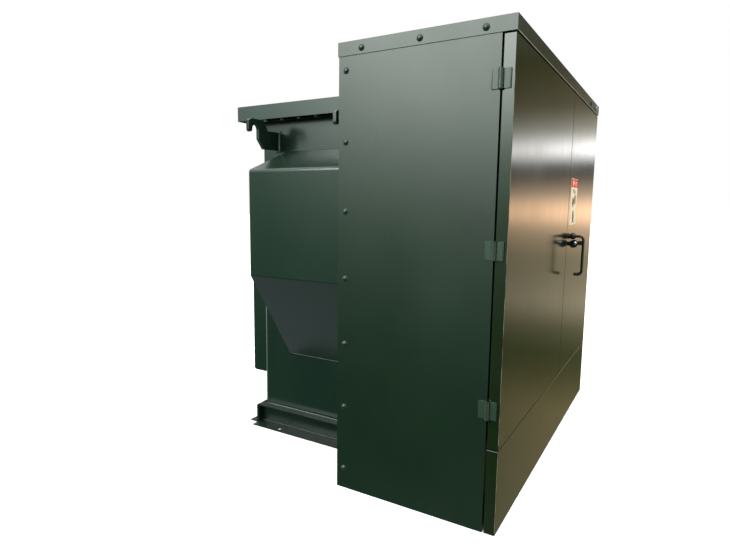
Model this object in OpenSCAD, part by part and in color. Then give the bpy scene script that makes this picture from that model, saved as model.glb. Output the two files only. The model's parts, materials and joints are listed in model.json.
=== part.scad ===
// Pad-mounted distribution transformer: a liquid-filled tank with cooling
// pockets, and a lockable two-door terminal cabinet on its front.
// +Z is up, the doors face -Y, and the origin is the centre of the four
// anchor holes, on the pad.

/* [Cabinet] */
// Width over the side panels
cab_w = 1669; // [1400:1:2010]
// Depth from the door faces to the back sheet
cab_d = 617; // [510:1:760]
// Height of the roof above the pad
cab_h = 1625; // [1600:1:1960]
// Thickness of the cabinet sheet
sheet = 3; // [2.5:0.5:4]
// Depth of the roof's turned-down edge
roof_edge = 47; // [40:1:58]
// Height of the lift-off front sill
sill_h = 290; // [240:1:350]
// Depth of the doors and of the sill
door_depth = 37; // [36:1:46]
// Gap between the doors and the side panels
door_gap = 6; // [5:0.5:8]
// Height of the gaps above and below the doors
door_slit = 4.5; // [3:0.5:6]
// Offset of the seam between the doors from the middle
seam_x = 124; // [60:1:150]
// Width of the seam between the doors
seam_gap = 5; // [4:0.5:8]
// Width of the folded flanges on the panels
flange_w = 50; // [40:1:60]

/* [Hinges and bolts] */
// Height of a hinge
hinge_h = 58; // [48:1:70]
// Width of an open hinge
hinge_w = 60; // [52:1:80]
// Thickness of a hinge leaf
leaf_t = 5; // [3:0.5:6]
// Radius of a hinge barrel
barrel_r = 8; // [7:0.5:10]
// Radius of a hinge pin
pin_r = 4; // [3:0.1:5]
// Number of knuckles on a hinge
knuckles = 6; // [4:2:8]
// Distance of the outer hinges from the ends of the door
hinge_inset = 128; // [80:1:200]
// Radius of a domed bolt head
dome_r = 12; // [9:0.5:14]
// Height of a domed bolt head
dome_h = 6.5; // [4:0.5:8]
// Number of bolts down each side panel
side_bolts = 7; // [4:1:9]
// Distance of the side bolts from the back edge
side_bolt_inset = 30; // [20:1:38]

/* [Handle] */
// Distance of the handle's shaft from the door seam
hub_inset = 42; // [40:1:60]
// Height of the handle's shaft
hub_z = 939; // [850:1:1000]
// Radius of the handle's rod
rod_r = 6; // [5:0.5:7]
// Reach of the handle in front of the door
handle_reach = 66; // [60:1:80]
// Drop of the handle below its shaft
handle_drop = 175; // [150:1:210]
// Radius of the handle's bends
handle_bend = 18; // [14:1:22]
// Radius of the handle's shaft
shaft_r = 8; // [7:0.5:9]
// Radius of the latch rods
latch_r = 4; // [3:0.5:4.5]
// Distance of the latch cam's pins from the shaft
cam_arm = 20; // [18:1:22]

/* [Tank] */
// Width of the tank
tank_w = 990; // [960:1:1190]
// Depth of the tank
tank_d = 655; // [600:1:790]
// Height of the underside of the rim above the pad
tank_top = 1450; // [1430:1:1480]
// Thickness of the tank wall
wall = 6; // [5:0.5:8]
// Outer radius of the tank's upright corners
corner_r = 20; // [15:1:30]
// Width of the bolting rim
rim_w = 67; // [60:1:75]
// Distance of the bolt line from the tank wall
bolt_line = 40; // [34:1:44]
// Distance between the cover bolts
bolt_pitch = 93; // [75:1:120]
// Distance of the rearmost side bolts from the rear wall
bolt_inset = 62; // [40:1:80]
// Overhang of the cover beyond the wall
cover_over = 81; // [76:1:90]
// Height of the cover's skirt
cover_h = 63; // [60:1:70]
// Thickness of the lifting lugs
lug_t = 16; // [12:1:20]

/* [Base] */
// Height of the base rails
base_h = 95; // [85:1:120]
// Distance from the tank wall to the rail's web
base_web = 15; // [12:1:25]
// Width of the rail's top flange
base_top_w = 50; // [40:1:60]
// Width of the rail's bottom flange beyond the web
base_foot_w = 68; // [60:1:80]
// Distance between the anchor holes across the tank
anchor_inset = 60; // [50:1:64]
// Distance between the anchor holes along the tank
anchor_pitch_y = 377; // [300:1:420]
// Radius of an anchor hole
anchor_r = 11; // [9:0.5:13]

/* [Cooling pockets] */
// Reach of the side pockets from the wall
pocket_reach = 262; // [200:1:300]
// Length of the side pockets
pocket_len = 458; // [300:1:500]
// Distance of the side pockets from the cabinet
pocket_front = 40; // [25:1:80]
// Sheet thickness of the pockets
pocket_t = 3; // [2.5:0.5:4]
// Bend radius of the pockets
pocket_bend = 16; // [8:1:24]
// Width of the rear box
rear_box_w = 676; // [500:1:760]
// Depth of the rear box
rear_box_d = 212; // [150:1:260]

/* [Hidden] */
$fn = 32;
eps = 0.01;
run_fit = 0.05;
free_gap = 0.4;

side_x = cab_w / 2;
tank_front = -tank_d / 2;
tank_back = tank_d / 2;
door_y = tank_front - cab_d;
post_y = door_y + door_depth + door_gap;
panel_in = side_x - sheet;
door_bottom = sill_h + door_slit;
door_top = cab_h - roof_edge - door_slit;
header_z = door_top - 54;
hinge_y = door_y + door_depth + door_gap / 2;
hinge_x = side_x + barrel_r + 0.2;
hinge_zs = [door_bottom + hinge_inset, (door_bottom + door_top) / 2,
            door_top - hinge_inset];
knuckle_h = hinge_h / knuckles;

side_bolt_y = tank_front - side_bolt_inset;
side_bolt_bottom = 78;
side_bolt_top = cab_h - roof_edge - 48;
side_bolt_step = (side_bolt_top - side_bolt_bottom) / (side_bolts - 1);
roof_bolt_inset = 92;
roof_bolt_ys = [for (k = [0 : 2])
    door_y + roof_bolt_inset + k * (cab_d - 2 * roof_bolt_inset) / 2];
roof_bolt_z = cab_h - 27;
front_bolt_x = side_x - 123;
bolt_shank = 5;

hub_x = seam_x + hub_inset;
hub_len = 30;
hub_r = 14.5;
cam_y = door_y + 8;
cam_t = 4;
cam_pin_r = 3;
foot_y = cam_y + cam_t + 2;
foot_t = 8;
latch_y = foot_y + foot_t / 2;
latch_x = cam_arm * (1 + cos(45)) / 2;
latch_lift = cam_arm * sin(45);
latch_slack = 0.9;
fork_top = header_z - 16;
fork_bottom = door_bottom + 41;
fork_t = 6;
lock_z = hub_z - 35;
lock_r = 18;
lock_y = door_y - 24;
lock_w = 26;
plug_r = 7.5;
plug_y = lock_y - 8;
plug_z = lock_z + 4;

floor_z = 60;
floor_t = 8;
rim_t = 10;
gasket_t = 5;
ring_t = 10;
cover_t = 5;
cover_bottom = tank_top - 5;
cover_top = cover_bottom + cover_h;
bolt_r = 5;
bolt_head = 8;
n_side = floor((tank_d - bolt_inset - 30) / bolt_pitch);
n_end = floor(tank_w / 2 / bolt_pitch);
cover_points = concat(
    [for (s = [-1, 1]) for (k = [0 : n_side])
        [s * (tank_w / 2 + bolt_line), tank_back - bolt_inset - k * bolt_pitch]],
    [for (s = [-1, 1]) for (k = [-n_end : n_end])
        [k * bolt_pitch, s * (tank_d / 2 + bolt_line)]]);

rail_t = 6;
rail_x = tank_w / 2 + base_web;
foot_x = rail_x + base_foot_w;
anchor_x = tank_w / 2 + anchor_inset;
rail_end = 7;

pocket_z = [1310, 1210, 766, 368];
rear_box_z = [1180, 1100, 184];
pocket_y0 = tank_front + pocket_front;
lug_rear_y = tank_back - 98;
lug_front_y = tank_front + 111;

core_y = 25;
core_z = 260;
leg_pitch = 300;
leg_w = 140;
leg_h = 560;
lv_in = 86;
lv_out = 108;
hv_in = 115;
hv_out = 143;

hv_pitch = 130;
hv_points = [for (row = [0, 1]) for (k = [0 : 2])
    [-tank_w / 2 + 115 + row * hv_pitch / 2 + k * hv_pitch, 700 + 190 * row]];
lv_pitch = 85;
lv_points = [for (k = [0 : 3])
    [tank_w / 2 - 60 - k * lv_pitch, 900 + 90 * (k % 2)]];
fuse_pitch = 110;
fuse_points = [for (k = [0 : 2]) [-tank_w / 2 + 95 + k * fuse_pitch, 1100]];
fuse_r = 15;
fuse_travel = 150;
tap_point = [-tank_w / 2 + 110, 1270];
switch_point = [-tank_w / 2 + 270, 1270];
gauge_points = [[tank_w / 2 - 230, 1330], [tank_w / 2 - 90, 1330]];
gauge_r = 46;
relief_point = [tank_w / 2 - 160, 1180];
fill_point = [-tank_w / 2 + 440, 1380];
drain_point = [tank_w / 2 - 80, 190];
plate_point = [tank_w / 2 - 165, 560];
barrier_top = tank_top - 16;

PAINT = "darkgreen";
FRAME = "seagreen";
STEEL = "silver";

// ---- shared shapes -------------------------------------------------------

module both_sides() {
    children();
    mirror([1, 0, 0]) children();
}

// A block between two opposite corners
module block(low, high) {
    translate(low) cube(high - low);
}

// A rectangle with round corners, centred
module round_rect(w, d, r) {
    square([w, d - 2 * r], center = true);
    square([w - 2 * r, d], center = true);
    for (x = [-1, 1]) for (y = [-1, 1])
        translate([x * (w / 2 - r), y * (d / 2 - r)]) circle(r, $fn = 48);
}

// Stands its children on the tank's front wall, growing towards the doors
module on_wall(point, depth = 0) {
    translate([point[0], tank_front + depth, point[1]]) rotate([90, 0, 0]) children();
}

function unit(v) = v / norm(v);
function turned_left(v) = [-v[1], v[0]];

function arc_points(centre, r, from, to, steps = 12) =
    [for (k = [0 : steps]) let (a = from + (to - from) * k / steps)
        centre + r * [cos(a), sin(a)]];

// Points of the bend at corner b of a-b-c
function bend_points(a, b, c, r, steps = 6) =
    let (u = unit(a - b), v = unit(c - b), half = acos(u * v) / 2,
         centre = b + unit(u + v) * r / sin(half),
         from = b + u * r / tan(half) - centre,
         to = b + v * r / tan(half) - centre,
         a0 = atan2(from[1], from[0]),
         raw = atan2(to[1], to[0]) - a0,
         turn = raw > 180 ? raw - 360 : raw < -180 ? raw + 360 : raw)
    [for (k = [0 : steps])
        centre + r * [cos(a0 + turn * k / steps), sin(a0 + turn * k / steps)]];

// Corner b of a-b-c moved in by t, for an outline that runs clockwise
function inset_corner(a, b, c, t) =
    let (n1 = -turned_left(unit(b - a)), n2 = -turned_left(unit(c - b)))
    b + t * (n1 + n2) / (1 + n1 * n2);

// Outline of a folded pocket: corners[0] and the last corner lie on the wall
function folded_outline(corners, r) =
    concat([corners[0]],
        [for (k = [1 : len(corners) - 2]) each
            bend_points(corners[k - 1], corners[k], corners[k + 1], r)],
        [corners[len(corners) - 1]]);

// A closed pocket, open to the wall only, that runs along +Z of its frame
module folded_pocket(corners, length) {
    last = len(corners) - 1;
    inner = [for (k = [0 : last])
        let (a = k == 0 ? corners[0] - [1, 0] : corners[k - 1],
             c = k == last ? corners[last] - [1, 0] : corners[k + 1])
        k == 0 ? inset_corner(corners[0] - [corners[1][0], corners[1][1] - corners[0][1]],
                              corners[0], corners[1], pocket_t) :
        k == last ? inset_corner(corners[last - 1], corners[last],
                                 2 * corners[last] - corners[last - 1], pocket_t) :
        inset_corner(a, corners[k], c, pocket_t)];
    difference() {
        linear_extrude(length) polygon(folded_outline(corners, pocket_bend));
        translate([0, 0, pocket_t]) linear_extrude(length - 2 * pocket_t)
            polygon(concat([[-1, inner[0][1]]],
                folded_outline(inner, pocket_bend - pocket_t),
                [[-1, inner[last][1]]]));
    }
}

// Hat-section stiffener: two webs on the door sheet and a face between them
module hat_stiffener(x, z0, z1) {
    width = 60;
    depth = 24;
    y0 = door_y + sheet;
    difference() {
        block([x - width / 2, y0, z0], [x + width / 2, y0 + depth, z1]);
        block([x - width / 2 + 2, y0 - 1, z0 - 1],
              [x + width / 2 - 2, y0 + depth - 2, z1 + 1]);
    }
}

// ---- base and tank -------------------------------------------------------

module side_rail() {
    y0 = tank_front;
    y1 = tank_back + rail_end;
    difference() {
        union() {
            block([rail_x - rail_t, y0, 0], [rail_x, y1, base_h]);
            block([tank_w / 2, y0, base_h - rail_t],
                  [tank_w / 2 + base_top_w, y1, base_h]);
            block([rail_x - rail_t, y0, 0], [foot_x, y1, rail_t]);
            for (y = [y0, y1 - rail_t]) block([rail_x - eps, y, rail_t - eps],
                [tank_w / 2 + base_top_w - 3, y + rail_t, base_h - rail_t + eps]);
        }
        for (s = [-1, 1]) translate([anchor_x, s * anchor_pitch_y / 2, -1])
            cylinder(r = anchor_r, h = rail_t + 2);
    }
}

module base_frame() {
    web_y = tank_back + rail_end + 3;
    skid_w = 80;
    end_x = tank_w / 2 + base_top_w - 5;
    color(PAINT) {
        both_sides() side_rail();
        block([-end_x, web_y, 0], [end_x, web_y + rail_t, base_h - rail_t - 2]);
        block([-end_x, web_y, 0], [end_x, web_y + 46, rail_t]);
        block([-rail_x + rail_t, tank_back, base_h - rail_t],
              [rail_x - rail_t, web_y, base_h]);
        block([-rail_x, tank_back, base_h - rail_t - 2],
              [rail_x, web_y + rail_t, base_h - rail_t]);
        for (k = [-1, 0, 1]) block(
            [-rail_x + rail_t, k * tank_d / 3 - skid_w / 2, 0],
            [rail_x - rail_t, k * tank_d / 3 + skid_w / 2, floor_z]);
    }
}

module wall_hole(point, r) {
    on_wall(point, wall + 1) cylinder(r = r, h = wall + 2);
}

module tank_shell() {
    color(PAINT) difference() {
        translate([0, 0, floor_z]) linear_extrude(tank_top - floor_z)
            round_rect(tank_w, tank_d, corner_r);
        translate([0, 0, floor_z + floor_t]) linear_extrude(tank_top)
            round_rect(tank_w - 2 * wall, tank_d - 2 * wall, corner_r - wall);
        both_sides() block([tank_w / 2 - wall - 1, pocket_y0 + 20, pocket_z[3] + 25],
            [tank_w / 2 + 1, pocket_y0 + pocket_len - 20, pocket_z[0] - 25]);
        block([-rear_box_w / 2 + 20, tank_back - wall - 1, rear_box_z[2] + 20],
              [rear_box_w / 2 - 20, tank_back + 1, rear_box_z[0] - 25]);
        for (p = hv_points) wall_hole(p, 40);
        for (p = lv_points) wall_hole(p, 26);
        for (p = fuse_points) wall_hole(p, 24.5);
        for (p = gauge_points) wall_hole(p, 20.5);
        wall_hole(tap_point, 15.5);
        wall_hole(switch_point, 18.5);
        wall_hole(relief_point, 13.5);
        wall_hole(fill_point, 16.5);
        wall_hole(drain_point, 14.5);
    }
}

module bolt_holes(z0, z1) {
    for (p = cover_points) translate([p[0], p[1], z0 - 1])
        cylinder(r = bolt_r + 0.5, h = z1 - z0 + 2);
}

module flat_ring(z, t, grow_in, grow_out) {
    difference() {
        translate([0, 0, z]) linear_extrude(t)
            round_rect(tank_w + 2 * grow_out, tank_d + 2 * grow_out, corner_r + 10);
        translate([0, 0, z - 1]) linear_extrude(t + 2)
            round_rect(tank_w + 2 * grow_in, tank_d + 2 * grow_in, corner_r - wall);
        bolt_holes(z, z + t);
    }
}

module tank_rim() {
    color(PAINT) flat_ring(tank_top, rim_t, -wall, rim_w);
}

module cover_gasket() {
    color("dimgray") flat_ring(tank_top + rim_t, gasket_t, 4, rim_w - 4);
}

module tank_cover() {
    ring_z = tank_top + rim_t + gasket_t;
    w = tank_w + 2 * cover_over;
    d = tank_d + 2 * cover_over;
    color(PAINT) {
        difference() {
            translate([0, 0, cover_bottom]) linear_extrude(cover_h) round_rect(w, d, 12);
            translate([0, 0, cover_bottom - 1]) linear_extrude(cover_h + 1 - cover_t)
                round_rect(w - 2 * cover_t, d - 2 * cover_t, 12 - cover_t);
        }
        flat_ring(ring_z, ring_t, -wall, rim_w - 4);
        difference() {
            translate([0, 0, ring_z]) linear_extrude(cover_top - cover_t - ring_z + eps)
                round_rect(tank_w, tank_d, corner_r);
            translate([0, 0, ring_z - 1]) linear_extrude(cover_h)
                round_rect(tank_w - 2 * wall, tank_d - 2 * wall, corner_r - wall);
        }
    }
}

module cover_bolts() {
    nut_z = tank_top + rim_t + gasket_t + ring_t;
    color(STEEL) for (p = cover_points) translate([p[0], p[1], 0]) {
        translate([0, 0, tank_top - bolt_head]) cylinder(r = 9, h = bolt_head, $fn = 6);
        translate([0, 0, tank_top - 1]) cylinder(r = bolt_r, h = nut_z + 12 - tank_top, $fn = 16);
        translate([0, 0, nut_z]) cylinder(r = 9, h = 8, $fn = 6);
    }
}

// Hook plate: a stub from the wall, a downward slot and a round-ended tooth outside it
module lug_outline() {
    top = tank_top - 16;
    slot_x = [141, 181];
    tip_x = 203;
    slot_r = (slot_x[1] - slot_x[0]) / 2;
    tooth_r = (tip_x - slot_x[1]) / 2;
    polygon(concat(
        [[0, top - 121], [107, top - 124], [slot_x[0], top - 83]],
        arc_points([slot_x[0] + slot_r, top - 44], slot_r, 180, 0),
        arc_points([tip_x - tooth_r, top - 46], tooth_r, 180, 360),
        [[tip_x, top - 9], [185, top], [106, top], [82, top - 43], [0, top - 40]]));
}

module lifting_lugs() {
    color(PAINT) both_sides() for (y = [lug_rear_y, lug_front_y])
        translate([tank_w / 2, y + lug_t / 2, 0]) rotate([90, 0, 0])
            linear_extrude(lug_t) lug_outline();
}

module side_pocket() {
    translate([tank_w / 2, pocket_y0 + pocket_len, 0]) rotate([90, 0, 0])
        folded_pocket([[0, pocket_z[0]], [pocket_reach, pocket_z[1]],
            [pocket_reach, pocket_z[2]], [0, pocket_z[3]]], pocket_len);
}

module cooling_pockets() {
    color(PAINT) both_sides() side_pocket();
}

module rear_cooling_box() {
    color(PAINT) translate([-rear_box_w / 2, tank_back, 0])
        rotate([90, 0, 90]) folded_pocket([[0, rear_box_z[0]],
            [rear_box_d, rear_box_z[1]], [rear_box_d, rear_box_z[2]],
            [0, rear_box_z[2]]], rear_box_w);
}

// ---- core and windings ---------------------------------------------------

module leg_places() {
    for (k = [-1, 0, 1]) translate([k * leg_pitch, core_y, core_z]) children();
}

module core() {
    cross = 90;
    half = leg_pitch + leg_w / 2;
    color("slategray") {
        leg_places() for (s = [[leg_w, cross], [cross, leg_w]])
            translate([-s[0] / 2, -s[1] / 2, leg_w - eps])
                cube([s[0], s[1], leg_h + 2 * eps]);
        for (z = [0, leg_w + leg_h]) translate([-half, core_y - leg_w / 2, core_z + z])
            cube([2 * half, leg_w, leg_w]);
    }
}

module core_clamps() {
    clamp_t = 12;
    half = leg_pitch + leg_w / 2 + 50;
    color("gray") for (s = [-1, 1]) translate([0, core_y, 0]) {
        y = s < 0 ? -leg_w / 2 - clamp_t : leg_w / 2;
        for (z = [core_z + 15, core_z + leg_w + leg_h + 15])
            block([-half, y, z], [half, y + clamp_t, z + leg_w - 30]);
        for (x = [-half, half - 60])
            block([x, y, floor_z + floor_t], [x + 60, y + clamp_t, core_z + 15]);
    }
}

module winding(r_in, r_out, trim) {
    leg_places() translate([0, 0, leg_w + trim]) difference() {
        cylinder(r = r_out, h = leg_h - 2 * trim, $fn = 64);
        translate([0, 0, -1]) cylinder(r = r_in, h = leg_h, $fn = 64);
    }
}

module lv_windings() {
    color("peru") winding(lv_in, lv_out, 20);
}

module hv_windings() {
    color("sienna") winding(hv_in, hv_out, 35);
}

// ---- fittings on the tank front ------------------------------------------

module hv_bushings() {
    color("dimgray") for (p = hv_points) on_wall(p) {
        cylinder(r = 58, h = 12);
        translate([0, 0, -70]) cylinder(r = 39, h = 71);
    }
}

module hv_inserts() {
    color("darkred") for (p = hv_points) on_wall(p, -12) rotate_extrude()
        polygon([[0, 0], [46, 0], [46, 14], [36, 22], [30, 110], [26, 116],
                 [0, 116]]);
}

module lv_bushings() {
    shed_step = 16;
    color("ivory") for (p = lv_points) on_wall(p) {
        translate([0, 0, -60]) cylinder(r = 25, h = 61);
        cylinder(r = 36, h = 12);
        for (k = [0 : 2]) translate([0, 0, 12 + k * shed_step - eps])
            rotate_extrude() polygon([[0, 0], [26, 0], [34, 6], [34, 9],
                [24, 13], [24, shed_step + eps], [0, shed_step + eps]]);
    }
}

module lv_spades() {
    color("goldenrod") for (p = lv_points) on_wall(p, -60) difference() {
        union() {
            cylinder(r = 20, h = 34);
            translate([-38, -6, 20]) cube([76, 12, 100]);
        }
        for (x = [-22, 22]) for (z = [66, 104])
            translate([x, 7, z]) rotate([90, 0, 0]) cylinder(r = 7, h = 14);
    }
}

module operator_body(point, r, plate_r) {
    on_wall(point) {
        cylinder(r = plate_r, h = 4);
        cylinder(r = r, h = 26);
        translate([0, 0, -70]) cylinder(r = r, h = 71);
        translate([0, 0, 25]) cylinder(r = 8, h = 22);
    }
}

module tap_changer() {
    color(STEEL) operator_body(tap_point, 15, 52);
}

module switch_body() {
    color(STEEL) operator_body(switch_point, 18, 60);
}

// A knob bored for the operator's shaft, with a grip across it
module tap_changer_handle() {
    color("darkred") on_wall(tap_point, -28) difference() {
        union() {
            cylinder(r = 20, h = 18);
            translate([-9, -46, 4]) cube([18, 92, 12]);
        }
        translate([0, 0, -1]) cylinder(r = 8 + run_fit, h = 21);
    }
}

// A lever with an eye for a hook stick
module switch_handle() {
    color("darkred") on_wall(switch_point, -28) difference() {
        union() {
            cylinder(r = 22, h = 18);
            translate([-10, 0, 4]) cube([20, 78, 12]);
            translate([0, 82, 4]) cylinder(r = 20, h = 12);
        }
        translate([0, 0, -1]) cylinder(r = 8 + run_fit, h = 21);
        translate([0, 82, 3]) cylinder(r = 12, h = 14);
    }
}

module fuse_housings() {
    color("dimgray") for (p = fuse_points) on_wall(p) difference() {
        union() {
            cylinder(r = 38, h = 10);
            translate([0, 0, -90]) cylinder(r = 24, h = 160);
        }
        translate([0, 0, -91]) cylinder(r = fuse_r + free_gap, h = 162);
    }
}

// A plug with a locking cap, and an eye to pull it by
module fuse(index) {
    color("black") on_wall(fuse_points[index]) {
        translate([0, 0, -84]) cylinder(r = fuse_r, h = 160);
        translate([0, 0, 70 + free_gap]) cylinder(r = 27, h = 18);
        translate([0, 0, 88]) cylinder(r = 12, h = 10);
        translate([0, 0, 116]) rotate([0, 90, 0]) rotate_extrude()
            translate([16, 0]) circle(5, $fn = 16);
    }
}

module left_fuse() {
    fuse(0);
}

module middle_fuse() {
    fuse(1);
}

module right_fuse() {
    fuse(2);
}

module drain_valve() {
    color("darkgoldenrod") on_wall(drain_point) {
        translate([0, 0, -20]) cylinder(r = 14, h = 92);
        cylinder(r = 26, h = 8);
        translate([0, 0, 40]) sphere(r = 25, $fn = 32);
        translate([0, 0, 66]) cylinder(r = 19, h = 14, $fn = 6);
        translate([0, 0, 40]) rotate([-90, 0, 0]) {
            cylinder(r = 13, h = 44);
            cylinder(r = 5, h = 62);
        }
    }
}

module drain_valve_wheel() {
    rim_r = 30;
    color("firebrick") translate([drain_point[0], tank_front - 40, drain_point[1] + 48])
        difference() {
            union() {
                cylinder(r = 10, h = 10);
                translate([0, 0, 5]) rotate_extrude() translate([rim_r, 0]) circle(5, $fn = 16);
                for (a = [0, 60, 120]) rotate([0, 0, a])
                    translate([-rim_r, -4, 2]) cube([2 * rim_r, 8, 6]);
            }
            translate([0, 0, -1]) cylinder(r = 5 + run_fit, h = 12);
        }
}

module fill_plug() {
    color(STEEL) on_wall(fill_point) {
        translate([0, 0, -20]) cylinder(r = 16, h = 21);
        cylinder(r = 26, h = 8);
        translate([0, 0, 7]) cylinder(r = 15, h = 17, $fn = 6);
    }
}

module gauge_cases() {
    color("lightgray") for (p = gauge_points) on_wall(p) difference() {
        union() {
            cylinder(r = gauge_r, h = 34, $fn = 64);
            translate([0, 0, -40]) cylinder(r = 20, h = 41);
        }
        difference() {
            translate([0, 0, 22]) cylinder(r = gauge_r - 5, h = 13, $fn = 64);
            translate([0, 0, 20]) cylinder(r = 2, h = 8, $fn = 16);
        }
    }
}

// A tapered hand that turns on the dial's spindle
module pointer(point, turn) {
    color("red") on_wall(point, -24) rotate([0, 0, turn]) difference() {
        union() {
            cylinder(r = 5, h = 2);
            linear_extrude(2) polygon([[-3, -12], [3, -12], [2.5, 0], [0.7, 34],
                                       [-0.7, 34], [-2.5, 0]]);
        }
        translate([0, 0, -1]) cylinder(r = 2 + run_fit, h = 4, $fn = 16);
    }
}

module level_pointer() {
    pointer(gauge_points[0], 0);
}

module thermometer_pointer() {
    pointer(gauge_points[1], 60);
}

module relief_valve() {
    color("goldenrod") on_wall(relief_point) {
        translate([0, 0, -20]) cylinder(r = 13, h = 21);
        cylinder(r = 22, h = 6);
        cylinder(r = 15, h = 34);
        translate([0, 0, 33]) cylinder(r = 6, h = 20);
        translate([0, 0, 52]) sphere(r = 7, $fn = 24);
    }
}

// A pull ring that hangs round the relief valve's neck
module relief_ring() {
    ring_r = 16;
    drop = ring_r - 2.5 - 6 - free_gap;
    color(STEEL) translate([relief_point[0], tank_front - 42, relief_point[1] - drop])
        rotate([90, 0, 0]) rotate_extrude() translate([ring_r, 0]) circle(2.5, $fn = 16);
}

module nameplate() {
    plate_w = 150;
    plate_h = 120;
    color("lightgray") on_wall(plate_point) {
        translate([-plate_w / 2, -plate_h / 2, 0]) cube([plate_w, plate_h, 2]);
        for (x = [-1, 1]) for (y = [-1, 1])
            translate([x * (plate_w / 2 - 8), y * (plate_h / 2 - 8), 1])
                cylinder(r = 4, h = 2.5);
    }
}

module ground_bar() {
    z = 330;
    x0 = -tank_w / 2 + 60;
    x1 = tank_w / 2 - 150;
    color("peru") {
        difference() {
            block([x0, tank_front - 26, z], [x1, tank_front - 20, z + 40]);
            for (k = [0 : 9]) translate([x0 + 40 + k * 75, tank_front - 19, z + 20])
                rotate([90, 0, 0]) cylinder(r = 5.5, h = 8);
        }
        for (x = [x0 + 5, seam_x - 70, x1 - 35])
            block([x, tank_front - 20 - eps, z + 5], [x + 30, tank_front, z + 35]);
    }
}

// Flat strap from the neutral spade down to the ground bar
module ground_strap() {
    x = lv_points[3][0];
    top = lv_points[3][1];
    color("orange") {
        block([x - 15, tank_front - 164, top - 9], [x + 15, tank_front - 150, top - 6]);
        block([x - 15, tank_front - 167, 372], [x + 15, tank_front - 164, top - 6]);
        block([x - 15, tank_front - 167, 370], [x + 15, tank_front - 20, 373]);
    }
}

// ---- cabinet -------------------------------------------------------------

module compartment_barrier() {
    barrier_t = 5;
    color("firebrick") difference() {
        block([seam_x - barrier_t / 2, post_y + sheet, 12],
              [seam_x + barrier_t / 2, tank_front, barrier_top]);
        block([seam_x - barrier_t, tank_front - 27, 329],
              [seam_x + barrier_t, tank_front + 1, 371]);
    }
}

// Latch fork: two prongs on the centre post, open towards the door
module fork(x, z) {
    prong = 5;
    slot = latch_r + 2;
    for (s = [-1, 1]) translate([x + s * (slot + prong / 2) - prong / 2, 0, z])
        block([0, latch_y - latch_r - 6, 0], [prong, post_y, fork_t]);
}

module latch_forks() {
    color(STEEL) {
        fork(hub_x - latch_x, fork_top);
        fork(hub_x + latch_x, fork_bottom);
    }
}

module centre_post() {
    x0 = seam_x - 40;
    x1 = hub_x + latch_x + latch_r + 12;
    color(FRAME) {
        block([x0, post_y, 0], [x1, post_y + sheet, header_z]);
        for (x = [x0, x1 - sheet]) block([x, post_y, 0], [x + sheet, post_y + 28, header_z]);
    }
}

module cabinet_back() {
    y0 = tank_front - sheet;
    top = cab_h - sheet;
    in_x = tank_w / 2 - 20;
    color(PAINT) {
        difference() {
            block([-panel_in, y0, 0], [panel_in, tank_front, top]);
            block([-in_x, y0 - 1, -1], [in_x, tank_front + 1, cover_top - 20]);
            block([-tank_w / 2 - cover_over - 3, y0 - 1, cover_bottom - 16],
                  [tank_w / 2 + cover_over + 3, tank_front + 1, cover_top + 4]);
        }
        both_sides() difference() {
            block([panel_in - sheet, tank_front - flange_w, 0], [panel_in, y0 + eps, top]);
            for (k = [0 : side_bolts - 1])
                translate([panel_in - sheet - 1, side_bolt_y, side_bolt_bottom + k * side_bolt_step])
                    rotate([0, 90, 0]) cylinder(r = bolt_shank + 0.5, h = sheet + 2);
        }
    }
}

// Side panel: an outer sheet, an inward flange behind the door and a foot
module side_panel() {
    foot_y = [door_y + 180, tank_front - 100];
    color(PAINT) difference() {
        union() {
            block([panel_in, post_y, 0], [side_x, tank_front, cab_h - sheet]);
            block([side_x - flange_w, post_y, 0], [side_x, post_y + sheet, cab_h - sheet]);
            block([side_x - flange_w, post_y, 0], [side_x, tank_front - flange_w - 1, sheet]);
        }
        for (k = [0 : side_bolts - 1])
            translate([panel_in - 1, side_bolt_y, side_bolt_bottom + k * side_bolt_step])
                rotate([0, 90, 0]) cylinder(r = bolt_shank + 0.5, h = sheet + 2);
        for (y = roof_bolt_ys) translate([panel_in - 1, y, roof_bolt_z])
            rotate([0, 90, 0]) cylinder(r = bolt_shank + 0.5, h = sheet + 2);
        for (y = foot_y) translate([side_x - flange_w / 2, y, -1])
            cylinder(r = anchor_r - 2, h = sheet + 2);
    }
}

module left_side_panel() {
    mirror([1, 0, 0]) side_panel();
}

module right_side_panel() {
    side_panel();
}

module cabinet_roof() {
    color(PAINT) difference() {
        block([-side_x - sheet, door_y - sheet, cab_h - roof_edge],
              [side_x + sheet, tank_front + sheet, cab_h]);
        block([-side_x, door_y, cab_h - roof_edge - 1],
              [side_x, tank_front, cab_h - sheet]);
        both_sides() for (y = roof_bolt_ys) translate([side_x - 1, y, roof_bolt_z])
            rotate([0, 90, 0]) cylinder(r = bolt_shank + 0.5, h = sheet + 2);
        translate([front_bolt_x, door_y + 1, roof_bolt_z]) rotate([90, 0, 0])
            cylinder(r = bolt_shank + 0.5, h = sheet + 2);
    }
}

module door_header() {
    half = side_x - flange_w;
    color(FRAME) {
        block([-half, post_y, header_z], [half, post_y + sheet, cab_h - sheet]);
        for (z = [header_z, cab_h - 2 * sheet])
            block([-half, post_y, z], [half, post_y + 40, z + sheet]);
    }
}

// Domed head, shank and nut, with the head's seat at z = 0
module dome_bolt(grip) {
    ball_r = (dome_r * dome_r + dome_h * dome_h) / (2 * dome_h);
    rise = asin(dome_r / ball_r);
    rotate_extrude() polygon(concat([[0, 0]], [for (k = [0 : 6])
        [ball_r * sin(rise * (1 - k / 6)),
         dome_h - ball_r + ball_r * cos(rise * (1 - k / 6))]]));
    translate([0, 0, -grip - 12]) cylinder(r = bolt_shank, h = grip + 13, $fn = 16);
    translate([0, 0, -grip - 8]) cylinder(r = 9, h = 8, $fn = 6);
}

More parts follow.
